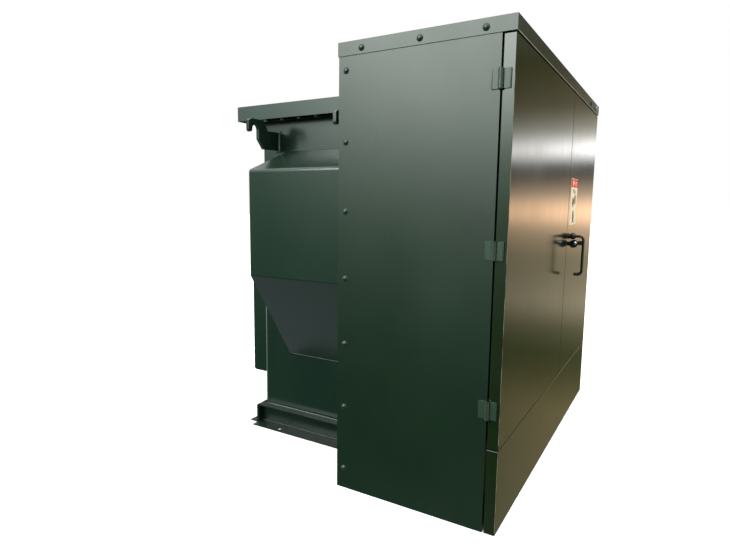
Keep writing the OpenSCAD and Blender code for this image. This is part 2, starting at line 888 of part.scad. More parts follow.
module cabinet_bolts() {
    color(PAINT) {
        both_sides() {
            for (k = [0 : side_bolts - 1])
                translate([side_x, side_bolt_y, side_bolt_bottom + k * side_bolt_step])
                    rotate([0, 90, 0]) dome_bolt(2 * sheet);
            for (y = roof_bolt_ys) translate([side_x + sheet, y, roof_bolt_z])
                rotate([0, 90, 0]) dome_bolt(2 * sheet);
        }
        translate([front_bolt_x, door_y - sheet, roof_bolt_z]) rotate([90, 0, 0])
            dome_bolt(sheet);
    }
}

// ---- hinges, doors and sill ----------------------------------------------

// One leaf with every second knuckle: side is 1 for the frame's leaf, -1 for the door's
module leaf(z, side) {
    clear_y = barrel_r + 0.5;
    parity = side > 0 ? 0 : 1;
    difference() {
        union() {
            translate([side_x, hinge_y + (side > 0 ? clear_y : -hinge_w / 2), z - hinge_h / 2])
                cube([leaf_t, hinge_w / 2 - clear_y, hinge_h]);
            for (k = [parity : 2 : knuckles - 1]) {
                z0 = z - hinge_h / 2 + k * knuckle_h + free_gap / 2;
                h = knuckle_h - free_gap;
                translate([hinge_x, hinge_y, z0]) cylinder(r = barrel_r, h = h);
                translate([side_x + 0.2, hinge_y + (side > 0 ? 0 : -clear_y - 1), z0])
                    cube([leaf_t - 0.2, clear_y + 1, h]);
            }
        }
        translate([hinge_x, hinge_y, z - hinge_h / 2 - 1])
            cylinder(r = pin_r + run_fit, h = hinge_h + 2);
    }
}

module frame_hinge_leaves() {
    color(FRAME) both_sides() for (z = hinge_zs) leaf(z, 1);
}

module hinge_pins() {
    head_h = 1.5;
    color(STEEL) both_sides() for (z = hinge_zs) translate([hinge_x, hinge_y, z]) {
        translate([0, 0, -hinge_h / 2 - head_h]) cylinder(r = pin_r, h = hinge_h + 2 * head_h);
        for (s = [-hinge_h / 2 - head_h, hinge_h / 2 + 0.1]) translate([0, 0, s])
            cylinder(r = barrel_r - 0.5, h = head_h);
    }
}

module left_hinge_leaves() {
    color(FRAME) mirror([1, 0, 0]) for (z = hinge_zs) leaf(z, -1);
}

module right_hinge_leaves() {
    color(FRAME) for (z = hinge_zs) leaf(z, -1);
}

// A pan folded from one sheet, with lips round its open back
module door_pan(x0, x1) {
    lip = 10;
    back_y = door_y + door_depth;
    difference() {
        block([x0, door_y, door_bottom], [x1, back_y, door_top]);
        block([x0 + sheet, door_y + sheet, door_bottom + sheet],
              [x1 - sheet, back_y - sheet, door_top - sheet]);
        block([x0 + lip, door_y + sheet, door_bottom + lip],
              [x1 - lip, back_y + 1, door_top - lip]);
    }
}

module left_door() {
    color(PAINT) door_pan(-side_x, seam_x - seam_gap / 2);
}

module right_door() {
    color(PAINT) difference() {
        door_pan(seam_x + seam_gap / 2, side_x);
        translate([hub_x, door_y + sheet + 1, hub_z]) rotate([90, 0, 0])
            cylinder(r = shaft_r + 1.5, h = sheet + 2);
    }
}

module left_door_stiffeners() {
    door_w = side_x + seam_x;
    color(FRAME) for (k = [1, 2])
        hat_stiffener(-side_x + door_w * k / 3, door_bottom + 30, door_top - 30);
}

// A block that guides a latch rod
module rod_guide(x, z) {
    difference() {
        block([x - 10, door_y + sheet, z], [x + 10, latch_y + latch_r + 4, z + 14]);
        translate([x, latch_y, z - 1]) cylinder(r = latch_r + free_gap, h = 16);
    }
}

module right_door_stiffeners() {
    color(FRAME) {
        hat_stiffener((hub_x + side_x) / 2 + 30, door_bottom + 30, door_top - 30);
        for (z = [hub_z + 130, door_top - 130]) rod_guide(hub_x - latch_x, z);
        for (z = [hub_z - 144, door_bottom + 130]) rod_guide(hub_x + latch_x, z);
    }
}

module front_sill() {
    back_y = door_y + door_depth;
    color(PAINT) {
        block([-side_x, door_y, 0], [side_x, door_y + sheet, sill_h]);
        both_sides() block([panel_in, door_y, 0], [side_x, back_y, sill_h]);
        for (z = [0, sill_h - sheet])
            block([-side_x, door_y, z], [side_x, back_y, z + sheet]);
    }
}

// ---- handle, lock and latch ----------------------------------------------

module handle_hub() {
    color(PAINT) translate([hub_x, door_y, hub_z]) rotate([90, 0, 0]) difference() {
        rotate_extrude() polygon([[0, 0], [hub_r - 1, 0], [hub_r - 1, 3],
            [hub_r - 4, 4], [hub_r - 4, 9], [hub_r - 1.5, 11], [hub_r, 14],
            [hub_r, hub_len - 6], [hub_r - 2, hub_len - 2], [hub_r - 4, hub_len],
            [0, hub_len]]);
        translate([0, 0, -1]) cylinder(r = shaft_r + run_fit, h = hub_len + 2);
    }
}

// Bent rod on a shaft, a locking tab on the rod, and the latch cam inside
module door_handle() {
    out_y = door_y - handle_reach;
    bend_y = out_y + handle_bend;
    low_z = hub_z - handle_drop;
    shaft_end = hub_len + 4;
    color("black") translate([hub_x, 0, 0]) {
        translate([0, cam_y + cam_t, hub_z]) rotate([90, 0, 0])
            cylinder(r = shaft_r, h = cam_y + cam_t - door_y + shaft_end);
        translate([0, door_y - shaft_end + 2, hub_z]) rotate([90, 0, 0])
            cylinder(r = rod_r, h = handle_reach - handle_bend - shaft_end + 2);
        translate([0, bend_y, hub_z - handle_bend]) rotate([90, 0, -90])
            rotate_extrude(angle = 90) translate([handle_bend, 0]) circle(rod_r);
        translate([0, out_y, low_z + handle_bend])
            cylinder(r = rod_r, h = handle_drop - 2 * handle_bend);
        translate([0, bend_y, low_z + handle_bend]) rotate([0, 90, 0])
            rotate([0, 0, -90]) rotate_extrude(angle = 90)
                translate([handle_bend, 0]) circle(rod_r);
        translate([0, bend_y + 12, low_z]) rotate([90, 0, 0]) cylinder(r = rod_r, h = 12);
        translate([0, bend_y + 12, low_z]) sphere(r = rod_r);
        block([-3, out_y, lock_z - 5], [3, lock_y - lock_r - 1.5, lock_z + 14]);
        translate([0, cam_y + cam_t, hub_z]) rotate([90, 0, 0]) cylinder(r = 30, h = cam_t);
        for (s = [-1, 1]) translate([s * latch_lift, cam_y, hub_z - s * latch_lift])
            rotate([-90, 0, 0]) cylinder(r = cam_pin_r, h = foot_y + foot_t - cam_y + 1);
    }
}

// Latch rod with a slotted foot that rides on a cam pin: side is 1 for the lower rod
module latch_rod(side, tip_z) {
    pin_x = hub_x + side * latch_lift;
    pin_z = hub_z - side * latch_lift;
    foot_x = hub_x + side * latch_x;
    half_w = 12.5;
    half_h = 9;
    slot_lo = cam_arm * cos(45) - cam_pin_r - 0.6;
    slot_hi = cam_arm + cam_pin_r + 0.6;
    rod_z = pin_z - side * (half_h - 1);
    difference() {
        block([foot_x - half_w, foot_y, pin_z - half_h],
              [foot_x + half_w, foot_y + foot_t, pin_z + half_h]);
        block([hub_x + (side > 0 ? slot_lo : -slot_hi), foot_y - 1,
               pin_z - cam_pin_r - latch_slack],
              [hub_x + (side > 0 ? slot_hi : -slot_lo), foot_y + foot_t + 1,
               pin_z + cam_pin_r + latch_slack]);
    }
    translate([foot_x, latch_y, min(rod_z, tip_z)])
        cylinder(r = latch_r, h = abs(rod_z - tip_z));
}

module upper_latch_rod() {
    color(STEEL) latch_rod(-1, fork_top + fork_t + 8);
}

module lower_latch_rod() {
    color(STEEL) latch_rod(1, fork_bottom - 8);
}

module lock_body() {
    color("black") difference() {
        union() {
            translate([hub_x - lock_w / 2, lock_y, lock_z]) rotate([0, 90, 0])
                cylinder(r = lock_r, h = lock_w, $fn = 48);
            translate([hub_x, door_y, lock_z]) rotate([90, 0, 0]) cylinder(r = 9, h = 12);
        }
        translate([hub_x - lock_w / 2 - 1, plug_y, plug_z]) rotate([0, 90, 0])
            cylinder(r = plug_r + run_fit, h = 11);
    }
}

// Key plug, turning in the lock's face
module lock_plug() {
    color(STEEL) translate([hub_x - lock_w / 2 - 1.5, plug_y, plug_z]) rotate([0, 90, 0])
        difference() {
            cylinder(r = plug_r, h = 11);
            translate([-1, -4, -1]) cube([2, 8, 5]);
        }
}

base_frame();
tank_shell();
tank_rim();
cooling_pockets();
rear_cooling_box();
lifting_lugs();
cover_gasket();
tank_cover();
cover_bolts();
core();
core_clamps();
lv_windings();
hv_windings();
hv_bushings();
hv_inserts();
lv_bushings();
lv_spades();
tap_changer();
tap_changer_handle();
switch_body();
switch_handle();
fuse_housings();
left_fuse();
middle_fuse();
right_fuse();
drain_valve();
drain_valve_wheel();
fill_plug();
gauge_cases();
level_pointer();
thermometer_pointer();
relief_valve();
relief_ring();
nameplate();
ground_bar();
ground_strap();
compartment_barrier();
centre_post();
latch_forks();
cabinet_back();
left_side_panel();
right_side_panel();
cabinet_roof();
door_header();
cabinet_bolts();
frame_hinge_leaves();
hinge_pins();
left_door();
left_door_stiffeners();
left_hinge_leaves();
right_door();
right_door_stiffeners();
right_hinge_leaves();
handle_hub();
door_handle();
upper_latch_rod();
lower_latch_rod();
lock_body();
lock_plug();
front_sill();
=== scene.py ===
"""Looks of a pad-mounted distribution transformer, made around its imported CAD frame.

Every formed steel node gets a twin with rolled bends and broken edges, and the details that a
workshop adds by hand are modelled here: weld beads, door seals, a label, dial faces, fasteners.
All lengths are metres, in the frame's own axes: the doors face -Y and +Z is up.
"""

from __future__ import annotations

import json
import logging
import math
from contextlib import contextmanager
from dataclasses import dataclass, field
from enum import Enum
from typing import Iterator, Sequence

import bmesh
import bpy
from mathutils import Matrix, Vector

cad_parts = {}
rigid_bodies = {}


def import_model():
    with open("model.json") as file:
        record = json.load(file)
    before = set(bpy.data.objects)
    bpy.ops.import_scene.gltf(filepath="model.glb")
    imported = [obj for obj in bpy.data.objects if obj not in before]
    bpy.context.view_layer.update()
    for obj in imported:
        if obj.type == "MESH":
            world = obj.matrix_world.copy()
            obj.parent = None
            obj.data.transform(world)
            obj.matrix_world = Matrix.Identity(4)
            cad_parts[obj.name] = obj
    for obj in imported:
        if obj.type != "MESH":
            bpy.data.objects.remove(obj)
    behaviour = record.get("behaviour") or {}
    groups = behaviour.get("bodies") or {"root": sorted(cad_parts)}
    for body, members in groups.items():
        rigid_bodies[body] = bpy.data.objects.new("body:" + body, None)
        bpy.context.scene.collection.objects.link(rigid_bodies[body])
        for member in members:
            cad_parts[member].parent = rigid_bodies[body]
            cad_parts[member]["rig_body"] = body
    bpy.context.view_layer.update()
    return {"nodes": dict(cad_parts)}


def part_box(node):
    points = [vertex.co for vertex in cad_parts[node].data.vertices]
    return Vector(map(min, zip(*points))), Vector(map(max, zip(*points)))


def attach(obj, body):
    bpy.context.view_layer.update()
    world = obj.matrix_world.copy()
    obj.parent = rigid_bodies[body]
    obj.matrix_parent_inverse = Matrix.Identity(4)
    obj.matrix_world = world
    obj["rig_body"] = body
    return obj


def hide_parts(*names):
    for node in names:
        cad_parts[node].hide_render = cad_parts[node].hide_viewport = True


LOG = logging.getLogger("transformer")
MM = 0.001
Colour = tuple[float, float, float]
CHALK = (0.30, 0.32, 0.28)
SOOT = (0.002, 0.003, 0.002)
DUST = (0.16, 0.17, 0.15)
MUD = (0.14, 0.12, 0.10)
BARE = (0.25, 0.27, 0.24)


# ---- working with Blender as by hand --------------------------------------------------------


def deselect_all() -> None:
    """Clears the selection."""
    for obj in list(bpy.context.selected_objects):
        obj.select_set(False)


def take_up(obj: bpy.types.Object) -> None:
    """Makes obj the only selected and the active object."""
    deselect_all()
    obj.select_set(True)
    bpy.context.view_layer.objects.active = obj


def settle(obj: bpy.types.Object) -> bpy.types.Object:
    """Puts the object's place into its mesh, so that its origin is the frame's origin.

    Args:
        obj: a mesh object.

    Returns:
        The same object.
    """
    take_up(obj)
    bpy.ops.object.transform_apply(location=True, rotation=True, scale=True)
    return obj


def apply_modifiers(obj: bpy.types.Object) -> None:
    """Applies every modifier of obj, in order."""
    take_up(obj)
    for modifier in list(obj.modifiers):
        bpy.ops.object.modifier_apply(modifier=modifier.name)


def join(parts: Sequence[bpy.types.Object], name: str) -> bpy.types.Object:
    """Joins mesh objects into the first of them.

    Args:
        parts: the objects, of which the first one stays.
        name: the name of the result.

    Returns:
        The joined object.
    """
    take_up(parts[0])
    for part in parts[1:]:
        part.select_set(True)
    if len(parts) > 1:
        bpy.ops.object.join()
    joined = bpy.context.view_layer.objects.active
    joined.name = name
    return joined


def smooth(obj: bpy.types.Object, degrees: float = 35.0) -> None:
    """Shades obj smooth wherever its faces meet at less than the given angle."""
    take_up(obj)
    bpy.ops.object.shade_smooth_by_angle(angle=math.radians(degrees))


def flatten_shading(obj: bpy.types.Object) -> None:
    """Keeps broad faces flat in the shading, so that only the bends beside them look round."""
    weighted = obj.modifiers.new("flat_faces", "WEIGHTED_NORMAL")
    weighted.mode = "FACE_AREA"
    weighted.weight = 100
    weighted.keep_sharp = True
    apply_modifiers(obj)


@contextmanager
def edit_mode(obj: bpy.types.Object) -> Iterator[None]:
    """Edit mode on obj for the length of a with block."""
    take_up(obj)
    bpy.ops.object.mode_set(mode="EDIT")
    try:
        yield
    finally:
        bpy.ops.object.mode_set(mode="OBJECT")


def block(name: str, low: Vector, high: Vector) -> bpy.types.Object:
    """A box between two corners, to be shaped further.

    Args:
        name: the object's name.
        low: its lowest corner.
        high: its highest corner.

    Returns:
        The settled object.
    """
    deselect_all()
    bpy.ops.mesh.primitive_cube_add(size=1.0, location=(Vector(low) + Vector(high)) / 2)
    obj = bpy.context.active_object
    obj.name = name
    obj.scale = Vector(high) - Vector(low)
    return settle(obj)


def disc(
    name: str, centre: Vector, radius: float, depth: float, axis: str = "Y", sides: int = 48
) -> bpy.types.Object:
    """A round bar along X, Y or Z, to be shaped further.

    Args:
        name: the object's name.
        centre: its middle.
        radius: its radius.
        depth: its length along the axis.
        axis: "X", "Y" or "Z".
        sides: the number of its sides.

    Returns:
        The settled object.
    """
    turn = {"X": (0, math.pi / 2, 0), "Y": (math.pi / 2, 0, 0), "Z": (0, 0, 0)}[axis]
    deselect_all()
    bpy.ops.mesh.primitive_cylinder_add(
        vertices=sides, radius=radius, depth=depth, location=centre, rotation=turn
    )
    obj = bpy.context.active_object
    obj.name = name
    return settle(obj)


def soften(obj: bpy.types.Object, width: float, segments: int = 2, degrees: float = 30) -> None:
    """Rounds the sharp edges of obj with an applied bevel.

    Args:
        obj: a mesh object.
        width: the bevel's width.
        segments: its steps.
        degrees: edges sharper than this are rounded.
    """
    bevel = obj.modifiers.new("soften", "BEVEL")
    bevel.width = width
    bevel.segments = segments
    bevel.limit_method = "ANGLE"
    bevel.angle_limit = math.radians(degrees)
    apply_modifiers(obj)
    smooth(obj)
    flatten_shading(obj)


def swept_rod(
    name: str,
    points: Sequence[Vector],
    radii: Sequence[float],
    sides: int = 2,
    closed: bool = False,
) -> bpy.types.Object:
    """A rod along a line of points, each with its own radius, as a closed mesh.

    Args:
        name: the object's name.
        points: the middle line.
        radii: the radius at each point.
        sides: the curve's bevel resolution.
        closed: whether the line ends where it starts.

    Returns:
        The settled mesh object.
    """
    curve = bpy.data.curves.new(name, "CURVE")
    curve.dimensions = "3D"
    curve.bevel_depth = 1.0
    curve.bevel_resolution = sides
    curve.use_fill_caps = not closed
    spline = curve.splines.new("POLY")
    spline.points.add(len(points) - 1)
    for knot, point, radius in zip(spline.points, points, radii):
        knot.co = (*point, 1.0)
        knot.radius = radius
    spline.use_cyclic_u = closed
    obj = bpy.data.objects.new(name, curve)
    bpy.context.scene.collection.objects.link(obj)
    take_up(obj)
    bpy.ops.object.convert(target="MESH")
    obj = bpy.context.active_object
    with edit_mode(obj):
        bpy.ops.mesh.select_all(action="SELECT")
        bpy.ops.mesh.remove_doubles(threshold=1e-6)
        bpy.ops.mesh.normals_make_consistent(inside=False)
    smooth(obj, 60)
    return settle(obj)


# ---- finishes -------------------------------------------------------------------------------


class Graph:
    """The node tree of one material, with short calls for the nodes that finishes use."""

    def __init__(self, name: str) -> None:
        """Starts a material with one shader and the object's own coordinates.

        Args:
            name: the material's name.
        """
        self.material = bpy.data.materials.new(name)
        self.material.use_nodes = True
        self.tree = self.material.node_tree
        self.shader = self.tree.nodes["Principled BSDF"]
        self.place = self.add("ShaderNodeTexCoord").outputs["Object"]

    def add(self, kind: str) -> bpy.types.Node:
        """Adds a node of the given kind."""
        return self.tree.nodes.new(kind)

    def link(self, source: bpy.types.NodeSocket, target: bpy.types.NodeSocket) -> None:
        """Joins an output to an input."""
        self.tree.links.new(source, target)

    def stretched(self, scale: Sequence[float]) -> bpy.types.NodeSocket:
        """Object coordinates, stretched along each axis."""
        mapping = self.add("ShaderNodeMapping")
        mapping.inputs["Scale"].default_value = scale
        self.link(self.place, mapping.inputs["Vector"])
        return mapping.outputs["Vector"]

    def noise(
        self,
        scale: float,
        detail: float = 4.0,
        rough: float = 0.5,
        stretch: Sequence[float] | None = None,
        twist: float = 0.0,
    ) -> bpy.types.NodeSocket:
        """Cloudy noise between 0 and 1.

        Args:
            scale: features per metre.
            detail: number of finer layers.
            rough: weight of the finer layers.
            stretch: a scale for each axis, or None.
            twist: distortion of the noise.

        Returns:
            The noise value.
        """
        node = self.add("ShaderNodeTexNoise")
        node.inputs["Scale"].default_value = scale
        node.inputs["Detail"].default_value = detail
        node.inputs["Roughness"].default_value = rough
        node.inputs["Distortion"].default_value = twist
        self.link(self.stretched(stretch) if stretch else self.place, node.inputs["Vector"])
        return node.outputs["Fac"]

    def ramp(
        self, value: bpy.types.NodeSocket, stops: Sequence[tuple[float, Colour]]
    ) -> bpy.types.NodeSocket:
        """Turns a value into a colour through evenly blended stops."""
        node = self.add("ShaderNodeValToRGB")
        band = node.color_ramp
        while len(band.elements) < len(stops):
            band.elements.new(1.0)
        for element, (position, colour) in zip(band.elements, stops):
            element.position = position
            element.color = (*colour, 1.0)
        self.link(value, node.inputs["Fac"])
        return node.outputs["Color"]

    def remap(
        self, value: bpy.types.NodeSocket, low: float, high: float, to_low: float, to_high: float
    ) -> bpy.types.NodeSocket:
        """Maps low..high of a value to to_low..to_high, clamped."""
        node = self.add("ShaderNodeMapRange")
        for key, number in zip(
            ("From Min", "From Max", "To Min", "To Max"), (low, high, to_low, to_high)
        ):
            node.inputs[key].default_value = number
        self.link(value, node.inputs["Value"])
        return node.outputs["Result"]

    def mix(
        self,
        first: bpy.types.NodeSocket,
        second: bpy.types.NodeSocket | Colour,
        share: bpy.types.NodeSocket | float,
        mode: str = "MIX",
    ) -> bpy.types.NodeSocket:
        """Blends two colours.

        Args:
            first: the colour under.
            second: the colour over, as a socket or a constant.
            share: how much of the second.
            mode: the blend mode.

        Returns:
            The blended colour.
        """
        node = self.add("ShaderNodeMix")
        node.data_type = "RGBA"
        node.blend_type = mode
        factor, under, over = node.inputs[0], node.inputs[6], node.inputs[7]
        self.link(first, under)
        if isinstance(second, tuple):
            over.default_value = (*second, 1.0)
        else:
            self.link(second, over)
        if isinstance(share, (int, float)):
            factor.default_value = share
        else:
            self.link(share, factor)
        return node.outputs[2]

    def sum(
        self, first: bpy.types.NodeSocket, second: bpy.types.NodeSocket | float, how: str = "ADD"
    ) -> bpy.types.NodeSocket:
        """Arithmetic on two values."""
        node = self.add("ShaderNodeMath")
        node.operation = how
        self.link(first, node.inputs[0])
        if isinstance(second, (int, float)):
            node.inputs[1].default_value = second
        else:
            self.link(second, node.inputs[1])
        return node.outputs[0]

    def bump(
        self,
        height: bpy.types.NodeSocket,
        distance: float,
        strength: float = 1.0,
        under: bpy.types.NodeSocket | None = None,
    ) -> bpy.types.NodeSocket:
        """A bump of the given depth in metres, on top of another."""
        node = self.add("ShaderNodeBump")
        node.inputs["Distance"].default_value = distance
        node.inputs["Strength"].default_value = strength
        self.link(height, node.inputs["Height"])
        if under is not None:
            self.link(under, node.inputs["Normal"])
        return node.outputs["Normal"]

    def facing_up(self) -> bpy.types.NodeSocket:
        """How far the surface faces the sky, from -1 to 1."""
        split = self.add("ShaderNodeSeparateXYZ")
        self.link(self.add("ShaderNodeNewGeometry").outputs["Normal"], split.inputs[0])
        return split.outputs["Z"]

    def height_above(self) -> bpy.types.NodeSocket:
        """The Z of the object's own coordinates."""
        split = self.add("ShaderNodeSeparateXYZ")
        self.link(self.place, split.inputs[0])
        return split.outputs["Z"]


@dataclass(frozen=True)
class Paint:
    """Sprayed enamel on steel: uneven colour, orange peel, dust and small scratches.

    Attributes:
        name: the material's name.
        colour: its base colour.
        roughness: its mean roughness.
        peel: depth of the orange peel.
        wave: depth of the long waves in the sheet.
        grain: stretch of the waves along each axis.
        dust: how much dust lies on it.
        scratch: how much it is scuffed.
        mirror: how strongly it mirrors.
        streak: stretch of the gloss variation along each axis.
        unevenness: how much the gloss varies.
        marks: soft smudges, each with its middle, its radius and its strength, below 0 if dark.
    """

    name: str
    colour: Colour
    roughness: float = 0.3
    peel: float = 0.000008
    wave: float = 0.0
    grain: tuple[float, float, float] = (1.0, 1.0, 1.0)
    dust: float = 0.25
    scratch: float = 0.3
    mirror: float = 0.5
    streak: tuple[float, float, float] = (3.2, 3.2, 1.9)
    unevenness: float = 0.03
    marks: tuple[tuple[Colour, float, float], ...] = ()

    def smudge(self, g: Graph, colour: bpy.types.NodeSocket) -> bpy.types.NodeSocket:
        """Adds the smudges to the colour.

        Args:
            g: the material's graph.
            colour: the colour without them.

        Returns:
            The colour with them.
        """
        for middle, radius, lighter in self.marks:
            mapping = g.add("ShaderNodeMapping")
            mapping.inputs["Location"].default_value = [-c / radius for c in middle]
            mapping.inputs["Scale"].default_value = [1 / radius] * 3
            g.link(g.place, mapping.inputs["Vector"])
            ball = g.add("ShaderNodeTexGradient")
            ball.gradient_type = "SPHERICAL"
            g.link(mapping.outputs["Vector"], ball.inputs["Vector"])
            share = g.remap(ball.outputs["Fac"], 0.0, 0.9, 0.0, abs(lighter))
            share = g.sum(share, g.remap(g.noise(30, 5, 0.6), 0.3, 0.7, 0.5, 1.0), "MULTIPLY")
            colour = g.mix(colour, CHALK if lighter > 0 else SOOT, share)
        return colour

    def make(self) -> bpy.types.Material:
        """Builds the material."""
        g = Graph(self.name)
        dark = tuple(c * 0.84 for c in self.colour)
        light = tuple(min(1.0, c * 1.16) for c in self.colour)
        colour = g.ramp(g.noise(2.2, 5, 0.55), [(0.3, dark), (0.7, light)])
        speck = g.remap(g.noise(160, 3, 0.6), 0.67, 0.75, 0.0, 0.15 * self.dust)
        colour = g.mix(colour, DUST, speck)
        settled = g.remap(g.facing_up(), 0.5, 1.0, 0.0, 0.22 * self.dust)
        patch = g.remap(g.noise(7, 6, 0.6), 0.35, 0.75, 0.2, 1.0)
        colour = g.mix(colour, DUST, g.sum(settled, patch, "MULTIPLY"))
        splash = g.remap(g.height_above(), 0.0, 0.12, 0.16 * self.dust, 0.0)
        mud = g.remap(g.noise(26, 6, 0.65), 0.5, 0.8, 0.0, 1.0)
        colour = g.mix(colour, MUD, g.sum(splash, mud, "MULTIPLY"))
        hair = g.noise(9, 8, 0.75, (1.0, 1.0, 14.0), 1.5)
        scuff = g.remap(hair, 0.72, 0.76, 0.0, 0.12 * self.scratch)
        colour = self.smudge(g, g.mix(colour, BARE, scuff))
        g.link(colour, g.shader.inputs["Base Color"])
        smear = g.noise(1.0, 6, 0.6, self.streak)
        rough = g.remap(
            smear, 0.3, 0.7, self.roughness - self.unevenness, self.roughness + self.unevenness
        )
        g.link(g.sum(rough, scuff), g.shader.inputs["Roughness"])
        g.shader.inputs["Specular IOR Level"].default_value = self.mirror
        normal = g.bump(g.noise(420, 2, 0.5), self.peel)
        if self.wave:
            normal = g.bump(g.noise(1.0, 2, 0.4, self.grain), self.wave, 1.0, normal)
        g.link(normal, g.shader.inputs["Normal"])
        return g.material


@dataclass(frozen=True)
class Metal:
    """Bare or plated metal with a brushed or cast surface.

    Attributes:
        name: the material's name.
        colour: its colour.
        roughness: its mean roughness.
        grain: stretch of the surface marks.
        tarnish: colour of its dull patches.
        patchy: how strong they are.
        relief: depth of the surface marks.
    """

    name: str
    colour: Colour
    roughness: float = 0.3
    grain: tuple[float, float, float] = (1.0, 1.0, 1.0)
    tarnish: Colour = (0.2, 0.18, 0.15)
    patchy: float = 0.3
    relief: float = 0.00002

    def make(self) -> bpy.types.Material:
        """Builds the material."""
        g = Graph(self.name)
        g.shader.inputs["Metallic"].default_value = 1.0
        base = g.ramp(
            g.noise(40, 4, 0.6), [(0.3, tuple(c * 0.85 for c in self.colour)), (0.7, self.colour)]
        )
        spots = g.remap(g.noise(55, 6, 0.65), 0.5, 0.75, 0.0, self.patchy)
        g.link(g.mix(base, self.tarnish, spots), g.shader.inputs["Base Color"])
        marks = g.noise(300, 4, 0.7, self.grain)
        rough = g.remap(marks, 0.2, 0.8, self.roughness * 0.8, self.roughness * 1.3)
        g.link(g.sum(rough, g.sum(spots, 0.3, "MULTIPLY")), g.shader.inputs["Roughness"])
        g.link(g.bump(marks, self.relief), g.shader.inputs["Normal"])
        return g.material


@dataclass(frozen=True)
class Moulded:
    """Moulded plastic, rubber, glaze or board.

    Attributes:
        name: the material's name.
        colour: its colour.
        roughness: its mean roughness.
        scale: size of the surface grain, in features per metre.
        relief: depth of the grain.
        bloom: colour of its chalky or dusty patches.
        bloomed: how strong they are.
        coat: strength of a clear glaze.
        mirror: how strongly it mirrors.
    """

    name: str
    colour: Colour
    roughness: float = 0.5
    scale: float = 500.0
    relief: float = 0.00003
    bloom: Colour = (0.3, 0.3, 0.28)
    bloomed: float = 0.15
    coat: float = 0.0
    mirror: float = 0.5

    def make(self) -> bpy.types.Material:
        """Builds the material."""
        g = Graph(self.name)
        base = g.ramp(
            g.noise(18, 4, 0.6), [(0.3, tuple(c * 0.86 for c in self.colour)), (0.7, self.colour)]
        )
        chalk = g.remap(g.noise(35, 6, 0.7), 0.45, 0.8, 0.0, self.bloomed)
        g.link(g.mix(base, self.bloom, chalk), g.shader.inputs["Base Color"])
        grain = g.noise(self.scale, 3, 0.6)
        rough = g.remap(grain, 0.2, 0.8, self.roughness * 0.85, min(1.0, self.roughness * 1.15))
        g.link(rough, g.shader.inputs["Roughness"])
        g.link(g.bump(grain, self.relief), g.shader.inputs["Normal"])
        g.shader.inputs["Specular IOR Level"].default_value = self.mirror
        g.shader.inputs["Coat Weight"].default_value = self.coat
        g.shader.inputs["Coat Roughness"].default_value = 0.08
        return g.material


@dataclass(frozen=True)
class Layered:
    """Stacked laminations or wound layers: fine lines across one axis.

    Attributes:
        name: the material's name.
        colour: its colour.
        line: colour of the gaps.
        pitch: distance between the lines.
        axis: the axis that they are stacked along.
        metallic: 1 for steel, 0 for paper.
        roughness: its roughness.
    """

    name: str
    colour: Colour
    line: Colour
    pitch: float
    axis: str
    metallic: float = 0.0
    roughness: float = 0.5

    def make(self) -> bpy.types.Material:
        """Builds the material."""
        g = Graph(self.name)
        wave = g.add("ShaderNodeTexWave")
        wave.bands_direction = self.axis
        wave.inputs["Scale"].default_value = math.pi / 10 / self.pitch
        wave.inputs["Distortion"].default_value = 0.4
        g.link(g.place, wave.inputs["Vector"])
        lines = wave.outputs["Fac"]
        tint = g.ramp(
            g.noise(14, 5, 0.6), [(0.3, tuple(c * 0.75 for c in self.colour)), (0.7, self.colour)]
        )
        gap = g.remap(lines, 0.0, 0.35, 1.0, 0.0)
        g.link(g.mix(tint, self.line, gap), g.shader.inputs["Base Color"])
        g.link(
            g.remap(lines, 0, 1, self.roughness + 0.15, self.roughness),
            g.shader.inputs["Roughness"],
        )
        g.link(g.bump(lines, self.pitch * 0.3), g.shader.inputs["Normal"])
        g.shader.inputs["Metallic"].default_value = self.metallic
        return g.material


